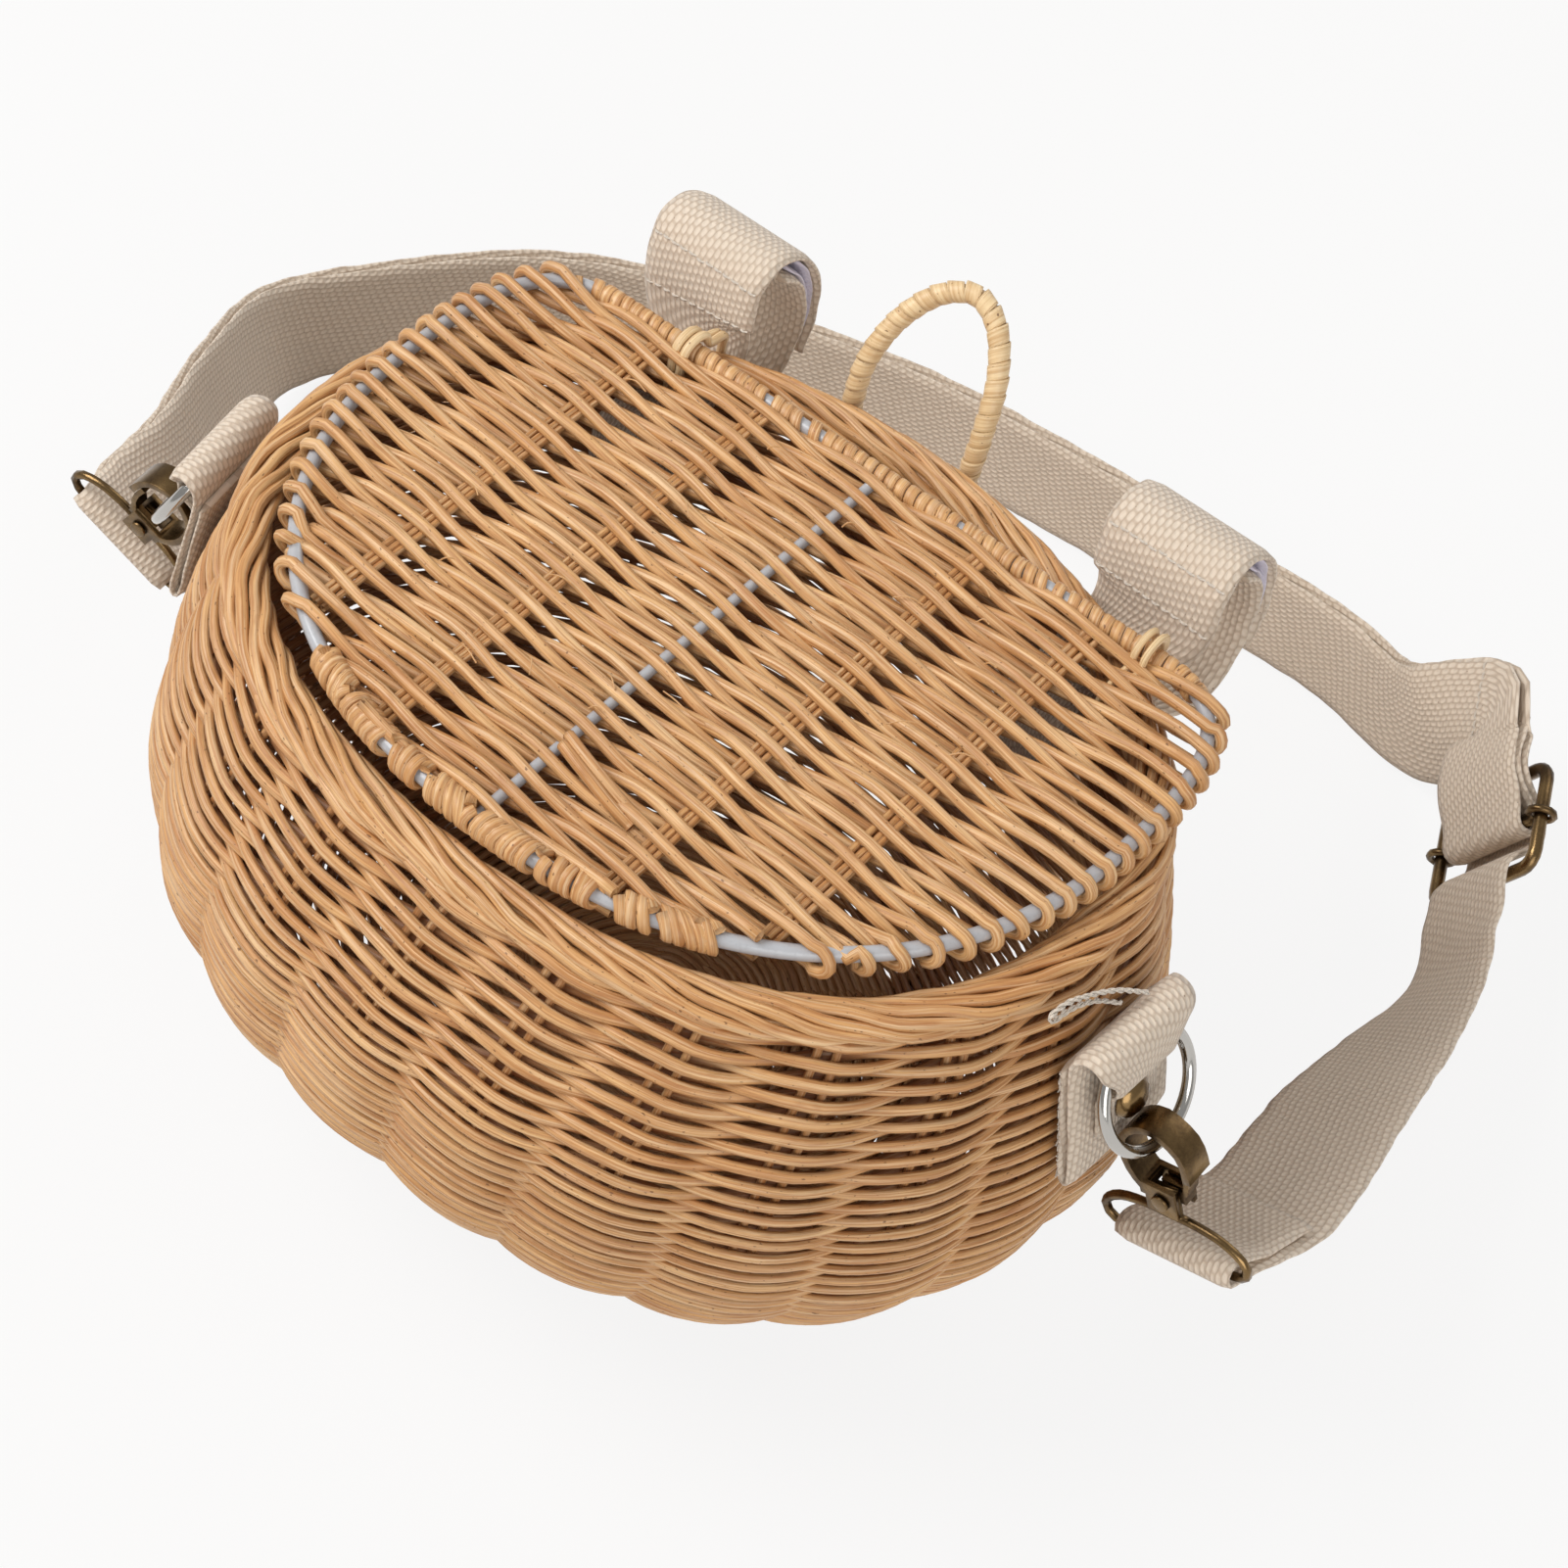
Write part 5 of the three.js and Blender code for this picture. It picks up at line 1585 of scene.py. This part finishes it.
@dataclass
class Webbing:
    """The cotton straps, the tabs and the tapes sewn on them."""

    profile: BodyProfile
    finishes: Finishes
    nodes: dict[str, bpy.types.Object]
    width: float = 38.0
    thickness: float = 2.0
    tape_width: float = 35.0
    tape_thickness: float = 1.1
    across: int = 12
    tab_course: tuple[tuple[float, float, float], ...] = (
        (-16, 3.5, 19), (0, 3.5, 19), (22, 3.5, 19), (23.2, 3.9, 19), (23.7, 4.75, 19), (23.2, 5.6, 19),
        (22, 6.0, 19), (0, 6.0, 19), (-18.3, 6.0, 19), (-21.4, 7.3, 19), (-22.8, 10.45, 18.6),
        (-21.4, 13.6, 18), (-18.3, 14.9, 17), (-15, 14.9, 14.5), (-11.5, 14.9, 12), (-8, 14.1, 11.5),
        (-5.8, 12.0, 11.5), (-4.4, 9.6, 11.5), (-2.2, 8.5, 11.5), (3, 8.5, 11.5), (10, 8.5, 11.5))
    seam_rows: tuple[tuple[str, float], ...] = (
        ("shoulder_strap", 88.0), ("handlebar_strap_left", 176.0), ("handlebar_strap_left", 190.0),
        ("handlebar_strap_right", 176.0), ("handlebar_strap_right", 190.0))
    seam_half: float = 16.5
    stitch_pitch: float = 3.0
    stitch_radius: float = 0.34
    thread_course: tuple[tuple[float, float, float], ...] = (
        (-25.5, 8.5, 7), (-29.5, 5.0, 0), (-32.6, 2.6, -8), (-34.4, 1.2, -15), (-33.6, 0.6, -20),
        (-31.6, 0.6, -19.4), (-31.4, 1.2, -14), (-30.0, 2.8, -7), (-26.0, 6.0, 0))
    thread_radius: float = 0.42
    ply_offset: float = 0.4
    ply_twist: float = 0.55
    fringe_threads: int = 46
    fringe_radius: float = 0.2

    def sheet_piece(self, name: str, strip: Strip, thickness: float, seed: int) -> bpy.types.Object:
        """Makes a strip of cloth with rounded selvedges.

        Args:
            name: The piece's name.
            strip: Its course.
            thickness: How thick it is.
            seed: The seed of its small waves.

        Returns:
            The piece.
        """
        rng = np.random.default_rng(seed)
        way = directions(strip.middle)
        wide = unit(strip.width - way * np.sum(strip.width * way, axis=1)[:, None])
        normal = np.cross(way, wide)
        reach = distance_along(strip.middle)
        u = np.linspace(-1, 1, self.across + 1)
        edge = np.sqrt(np.clip(1 - ((np.abs(u) - 0.955) / 0.045).clip(0, 1) ** 2, 0.12, 1))
        loop_u = np.concatenate([u, u[::-1]])
        loop_n = np.concatenate([edge, -edge[::-1]]) * thickness / 2
        wave = ripple(rng, reach, 0.25, 23.0)
        waver = ripple(rng, reach, 0.18, 17.0)
        half = (strip.half + waver)[:, None]
        points = (strip.middle[:, None] + wide[:, None] * (loop_u[None] * half)[..., None]
                  + normal[:, None] * (loop_n[None] + wave[:, None] * 0.3)[..., None])
        count, ring = len(points), len(loop_u)
        i, j = np.meshgrid(np.arange(count - 1), np.arange(ring), indexing="ij")
        k = (j + 1) % ring
        quads = np.stack([i * ring + j, i * ring + k, (i + 1) * ring + k, (i + 1) * ring + j], -1)
        place_u = loop_u * self.width / 2
        nxt = np.append(place_u[1:], place_u[0])
        nxt[ring // 2 - 1] = place_u[ring // 2 - 1]
        nxt[-1] = place_u[-1]
        uv = np.stack([np.stack([place_u[j], reach[i]], -1), np.stack([nxt[j], reach[i]], -1),
                       np.stack([nxt[j], reach[i + 1]], -1), np.stack([place_u[j], reach[i + 1]], -1)], 2)
        faces = quads.reshape(-1, 4).tolist()
        pattern = [uv.reshape(-1, 2)]
        for end, flip in ((0, False), (count - 1, True)):
            for a in range(self.across):
                near, far = end * ring + a, end * ring + ring - 1 - a
                quad = [near, near + 1, far - 1, far]
                faces.append(quad if flip else quad[::-1])
                pattern.append(np.array([[place_u[a], reach[end]]] * 4))
        return add_mesh(name, points.reshape(-1, 3), faces, np.vstack(pattern))

    def plans(self) -> list[ClothPlan]:
        """Lists the strips whose course is read from the CAD.

        Returns:
            The strips, in the order in which they are laid.
        """
        found = [ClothPlan("shoulder_strap", Slot.COTTON, self.thickness, self.width, "laid",
                           ("slider_bar", "clasp_loop_left", "clasp_loop_right"), step=1.9)]
        for side in Side:
            strap = f"handlebar_strap_{side.value}"
            found.append(ClothPlan(strap, Slot.COTTON, self.thickness, self.width, "folded", ("woven_wall",)))
            for tape in (f"hook_tape_{side.value}", f"loop_tape_{side.value}"):
                found.append(ClothPlan(tape, Slot.TAPE, self.tape_thickness, self.tape_width, "laid",
                                       (strap,)))
        return found

    def build_from_nodes(self) -> None:
        """Lays the straps and tapes along their CAD nodes."""
        for i, plan in enumerate(self.plans()):
            strip = Strip.of_node(self.nodes[plan.node]).refined(plan.step)
            piece = self.sheet_piece(f"{plan.node}_cloth", strip, plan.thickness, SEED + 30 + i)
            material = self.finishes.cotton if plan.slot is Slot.COTTON else self.finishes.tape
            settle(piece, "basket", material, [plan.node])
            flat = (plan.flat_width * MM, round(strip.length(), 4))

    def build_tabs(self) -> None:
        """Folds the two side tabs round their rings."""
        half = np.array([h for *_, h in self.tab_course], float)
        for i, side in enumerate(Side):
            frame = TabFrame.at(self.profile, side)
            middle = np.array([frame.place(down, out, 0) for down, out, _ in self.tab_course])
            strip = Strip(middle, np.tile(frame.along, (len(middle), 1)), half).refined(1.1)
            piece = self.sheet_piece(f"side_tab_{side.value}_cloth", strip, self.thickness, SEED + 40 + i)
            settle(piece, "basket", self.finishes.cotton, [f"side_tab_{side.value}"])
            flat = (self.width * MM, round(strip.length(), 4))

    def seam(self, rng: np.random.Generator, node: str, place: float) -> list[Strand]:
        """Sews one row of stitches across the outer face of a strap.

        Args:
            rng: The seeded source of small differences.
            node: The strap's CAD node.
            place: Where the row lies, as a length along the strap.

        Returns:
            The stitches.
        """
        strip = Strip.of_node(self.nodes[node]).refined(1.2)
        near = int(np.argmin(np.abs(distance_along(strip.middle) - place)))
        way = directions(strip.middle)[near]
        wide = unit(strip.width[near] - way * strip.width[near].dot(way))
        up = -np.cross(way, wide) * (self.thickness / 2 + 0.12)
        stitches = []
        for x in np.arange(-self.seam_half, self.seam_half + 0.1, self.stitch_pitch):
            lift = np.array([-0.35, 0.1, 0.22, 0.1, -0.35])
            across = x + np.linspace(-1.15, 1.15, 5)
            sway = rng.uniform(-0.3, 0.3)
            points = strip.middle[near] + wide * across[:, None] + up + way * sway + unit(up) * lift[:, None]
            stitches.append(Strand(points, self.stitch_radius, tone=rng.random()))
        return stitches

    def loose_thread(self, frame: "TabFrame") -> list[Strand]:
        """Loops a thread of two twisted plies above the tab's fold.

        Args:
            frame: Where the tab sits.

        Returns:
            The two plies.
        """
        course = smooth_path(self.thread_course, 120)
        twist = np.arange(len(course)) * self.ply_twist
        plies = []
        for ply in (0.0, math.pi):
            circle = np.column_stack([np.cos(twist + ply), np.sin(twist + ply), 0 * twist])
            points = np.array([frame.place(*x) for x in course + self.ply_offset * circle])
            plies.append(Strand(points, self.thread_radius, tone=0.4))
        return plies

    def fringe(self, rng: np.random.Generator, frame: "TabFrame") -> list[Strand]:
        """Frays the tab's left edge.

        Args:
            rng: The seeded source of small differences.
            frame: Where the tab sits.

        Returns:
            The short threads of the edge.
        """
        threads = []
        for x in rng.uniform(-15.5, 21.5, self.fringe_threads):
            tip = rng.uniform(0.5, 1.7)
            path = [(x + rng.uniform(-1, 1) * t * 0.9, 3.0 + 0.6 * t + rng.uniform(-0.2, 0.2),
                     -18.7 - tip * t) for t in (0.0, 0.5, 1.0)]
            points = np.array([frame.place(*q) for q in smooth_path(path, 7)])
            threads.append(Strand(points, self.fringe_radius, tone=rng.random()))
        return threads

    def build_threads(self) -> None:
        """Sews the seams and leaves the loose thread and the fringe at the right tab."""
        rng = np.random.default_rng(SEED + 50)
        stitches = [stitch for node, place in self.seam_rows for stitch in self.seam(rng, node, place)]
        settle(strands_object("sewn_seams", stitches, 6), "basket", self.finishes.thread)
        frame = TabFrame.at(self.profile, Side.RIGHT)
        threads = self.loose_thread(frame) + self.fringe(rng, frame)
        settle(strands_object("loose_threads", threads, 5), "basket", self.finishes.thread)

    def build(self) -> None:
        """Builds all the cloth."""
        self.build_from_nodes()
        self.build_tabs()
        self.build_threads()


@dataclass
class TabFrame:
    """Where a side tab sits on the wall: its middle and its three directions."""

    origin: np.ndarray
    down: np.ndarray
    out: np.ndarray
    along: np.ndarray

    @classmethod
    def at(cls, profile: BodyProfile, side: Side) -> "TabFrame":
        """Finds the frame on the body.

        Args:
            profile: The body's outline.
            side: The tab's side.

        Returns:
            The frame.
        """
        angle = TAB_ANGLES[side]
        out = profile.normal(TAB_LEVEL, angle)
        along = unit(np.cross([0.0, 0, 1], out))
        down = unit(np.cross(along, out))
        if down[2] > 0:
            down = -down
        return cls(profile.point(TAB_LEVEL, angle), down, out, along)

    def place(self, down: float, out: float, along: float) -> np.ndarray:
        """Gives a point of the frame."""
        return self.origin + self.down * down + self.out * out + self.along * along


@dataclass
class Hardware:
    """Rings, rivets, clasps and the slider."""

    profile: BodyProfile
    finishes: Finishes
    nodes: dict[str, bpy.types.Object]
    ring_radius: float = 15.65
    ring_wire: float = 1.7
    ring_tilt: float = 18.0
    ring_seat: tuple[float, float] = (-17.3, 9.9)

    def brass_copy(self, node: str, body: str, bevel: float, smooth: float) -> None:
        """Copies a CAD node, rounds its edges, smooths it and plates it with brass.

        Args:
            node: The CAD node.
            body: The body that it rides on.
            bevel: How wide the rounding is in millimetres, or 0 for none.
            smooth: The sharpest bend that is smoothed, in degrees.
        """
        mesh = self.nodes[node].data.copy()
        mesh.name = f"{node}_brass"
        piece = bpy.data.objects.new(mesh.name, mesh)
        bpy.context.scene.collection.objects.link(piece)
        only(piece)
        bpy.ops.object.mode_set(mode="EDIT")
        bpy.ops.mesh.select_all(action="SELECT")
        bpy.ops.mesh.remove_doubles(threshold=1e-6)
        bpy.ops.mesh.dissolve_limited(angle_limit=math.radians(1.0))
        bpy.ops.mesh.quads_convert_to_tris()
        bpy.ops.object.mode_set(mode="OBJECT")
        if bevel:
            rounding = piece.modifiers.new("rounding", "BEVEL")
            rounding.width = bevel * MM
            rounding.segments = 3
            rounding.limit_method = "ANGLE"
            rounding.angle_limit = math.radians(smooth)
            bpy.ops.object.modifier_apply(modifier="rounding")
        bpy.ops.object.shade_smooth_by_angle(angle=math.radians(smooth))
        settle(piece, body, self.finishes.brass, [node])

    def build_rings(self) -> None:
        """Turns the two tab rings."""
        tilt = math.radians(self.ring_tilt)
        for side in Side:
            frame = TabFrame.at(self.profile, side)
            hang = frame.down * math.cos(tilt) + frame.out * math.sin(tilt)
            centre = frame.place(*self.ring_seat, 0) + hang * self.ring_radius
            q = np.linspace(0, 2 * math.pi, 72, endpoint=False)
            path = centre + self.ring_radius * (np.sin(q)[:, None] * frame.along - np.cos(q)[:, None] * hang)
            ring = Strand(path, self.ring_wire, closed=True)
            piece = strands_object(f"tab_ring_{side.value}_plated", [ring], 16)
            settle(piece, f"ring_{side.value}", self.finishes.chrome, [f"tab_ring_{side.value}"])

    def build_copies(self) -> None:
        """Rounds the clasps, rivets and slider."""
        for end in (side.value for side in Side):
            self.brass_copy(f"tab_rivet_{end}", "basket", 0.25, 40)
            self.brass_copy(f"clasp_loop_{end}", f"wire_loop_{end}", 0.0, 50)
            self.brass_copy(f"clasp_claw_{end}", f"claw_{end}", 0.35, 40)
            self.brass_copy(f"clasp_pin_{end}", f"claw_{end}", 0.2, 40)
            self.brass_copy(f"clasp_gate_{end}", f"gate_{end}", 0.3, 40)
        self.brass_copy("slider_frame", "slider", 0.0, 60)
        self.brass_copy("slider_bar", "basket", 0.0, 60)

    def build(self) -> None:
        """Builds all the hardware."""
        self.build_rings()
        self.build_copies()


def only(piece: bpy.types.Object) -> None:
    """Selects one object and makes it active.

    Args:
        piece: The object.
    """
    bpy.ops.object.select_all(action="DESELECT")
    piece.select_set(True)
    bpy.context.view_layer.objects.active = piece


@dataclass(frozen=True)
class Softbox:
    """One square lamp that faces the basket: its place and side in metres and its power in watts."""

    name: str
    place: tuple[float, float, float]
    size: float
    power: float

    def hang(self) -> None:
        """Hangs the lamp and turns it to the basket."""
        data = bpy.data.lights.new(self.name, "AREA")
        data.size = self.size
        data.energy = self.power
        lamp = bpy.data.objects.new(self.name, data)
        bpy.context.scene.collection.objects.link(lamp)
        lamp.location = self.place
        lamp.rotation_mode = "QUATERNION"
        lamp.rotation_quaternion = (Vector((0, 0, 0.08)) - Vector(self.place)).to_track_quat("-Z", "Y")


@dataclass(frozen=True)
class Studio:
    """Camera, floor, soft lamps and the light of the room, placed in metres and degrees."""

    azimuth: float = 30.155
    elevation: float = 45.966
    roll: float = 11.0
    distance: float = 0.9
    target: tuple[float, float, float] = (0.0, 0.058, 0.170)
    lens: float = 79.2
    shift: tuple[float, float] = (-0.0605, -0.1893)
    glow: float = 0.86
    paper: tuple[Colour, Colour] = (linear(206, 201, 196), linear(212, 209, 206))
    lamps: tuple[Softbox, ...] = (
        Softbox("key_lamp", (-1.0, -0.62, 1.45), 1.1, 26.5),
        Softbox("fill_lamp", (1.5, -1.2, 0.9), 1.4, 17.5),
        Softbox("back_lamp", (0.2, 1.6, 1.3), 1.2, 7.0))
    room_light: float = 0.44

    def build_camera(self) -> None:
        """Sets the camera where the photograph was taken from."""
        a, e, r = (math.radians(x) for x in (self.azimuth, self.elevation, self.roll))
        back = Vector((math.sin(a) * math.cos(e), -math.cos(a) * math.cos(e), math.sin(e)))
        right = Vector((math.cos(a), math.sin(a), 0))
        up = Vector((-math.sin(a) * math.sin(e), math.cos(a) * math.sin(e), math.cos(e)))
        across = right * math.cos(r) + up * math.sin(r)
        upward = up * math.cos(r) - right * math.sin(r)
        data = bpy.data.cameras.new("camera")
        data.lens = self.lens
        data.sensor_width = 36.0
        data.shift_x, data.shift_y = self.shift
        camera = bpy.data.objects.new("camera", data)
        bpy.context.scene.collection.objects.link(camera)
        place = Vector(self.target) + back * self.distance
        camera.matrix_world = Matrix((
            (across.x, upward.x, back.x, place.x),
            (across.y, upward.y, back.y, place.y),
            (across.z, upward.z, back.z, place.z),
            (0, 0, 0, 1)))
        bpy.context.scene.camera = camera

    def build(self) -> None:
        """Builds the floor, the lamps and the world."""
        bpy.ops.object.select_all(action="DESELECT")
        bpy.ops.mesh.primitive_plane_add(size=12, location=(0, 0, -0.0002))
        floor = bpy.context.active_object
        floor.name = "floor"
        recipe = Recipe("white_floor")
        grain = recipe.noise(recipe.place(), 3.0, 2.0)
        paper = recipe.add("ShaderNodeBsdfPrincipled", None, {
            "Base Color": recipe.mix(grain * 0.5, *self.paper),
            "Roughness": 0.9,
            "Specular IOR Level": 0.1,
        })
        glow = recipe.add("ShaderNodeEmission", None, {"Color": (1, 1, 1, 1), "Strength": 1.0})
        rays = recipe.add("ShaderNodeLightPath")
        seen = rays + rays.other("Is Glossy Ray") + rays.other("Is Transmission Ray")
        backdrop = recipe.add("ShaderNodeMixShader", None, {0: seen * self.glow, 1: paper, 2: glow})
        recipe.add("ShaderNodeOutputMaterial", None, {"Surface": backdrop})
        floor.data.materials.append(recipe.material)
        for lamp in self.lamps:
            lamp.hang()
        world = bpy.data.worlds.new("white_room")
        world.use_nodes = True
        background = world.node_tree.nodes["Background"]
        background.inputs["Color"].default_value = (1, 1, 1, 1)
        background.inputs["Strength"].default_value = self.room_light
        bpy.context.scene.world = world
        bpy.context.scene.view_settings.view_transform = "Standard"


def main() -> None:
    """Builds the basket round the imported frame."""
    logging.basicConfig(level=logging.INFO, format="%(message)s")
    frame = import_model()
    profile = BodyProfile()
    finishes = Finishes.make()
    studio = Studio()
    studio.build_camera()
    Webbing(profile, finishes, frame["nodes"]).build()
    WovenBody(profile, finishes).build()
    Lid(profile, finishes).build()
    CaneFittings(profile, finishes).build()
    Hardware(profile, finishes, frame["nodes"]).build()
    studio.build()


if __name__ == "__main__":
    main()
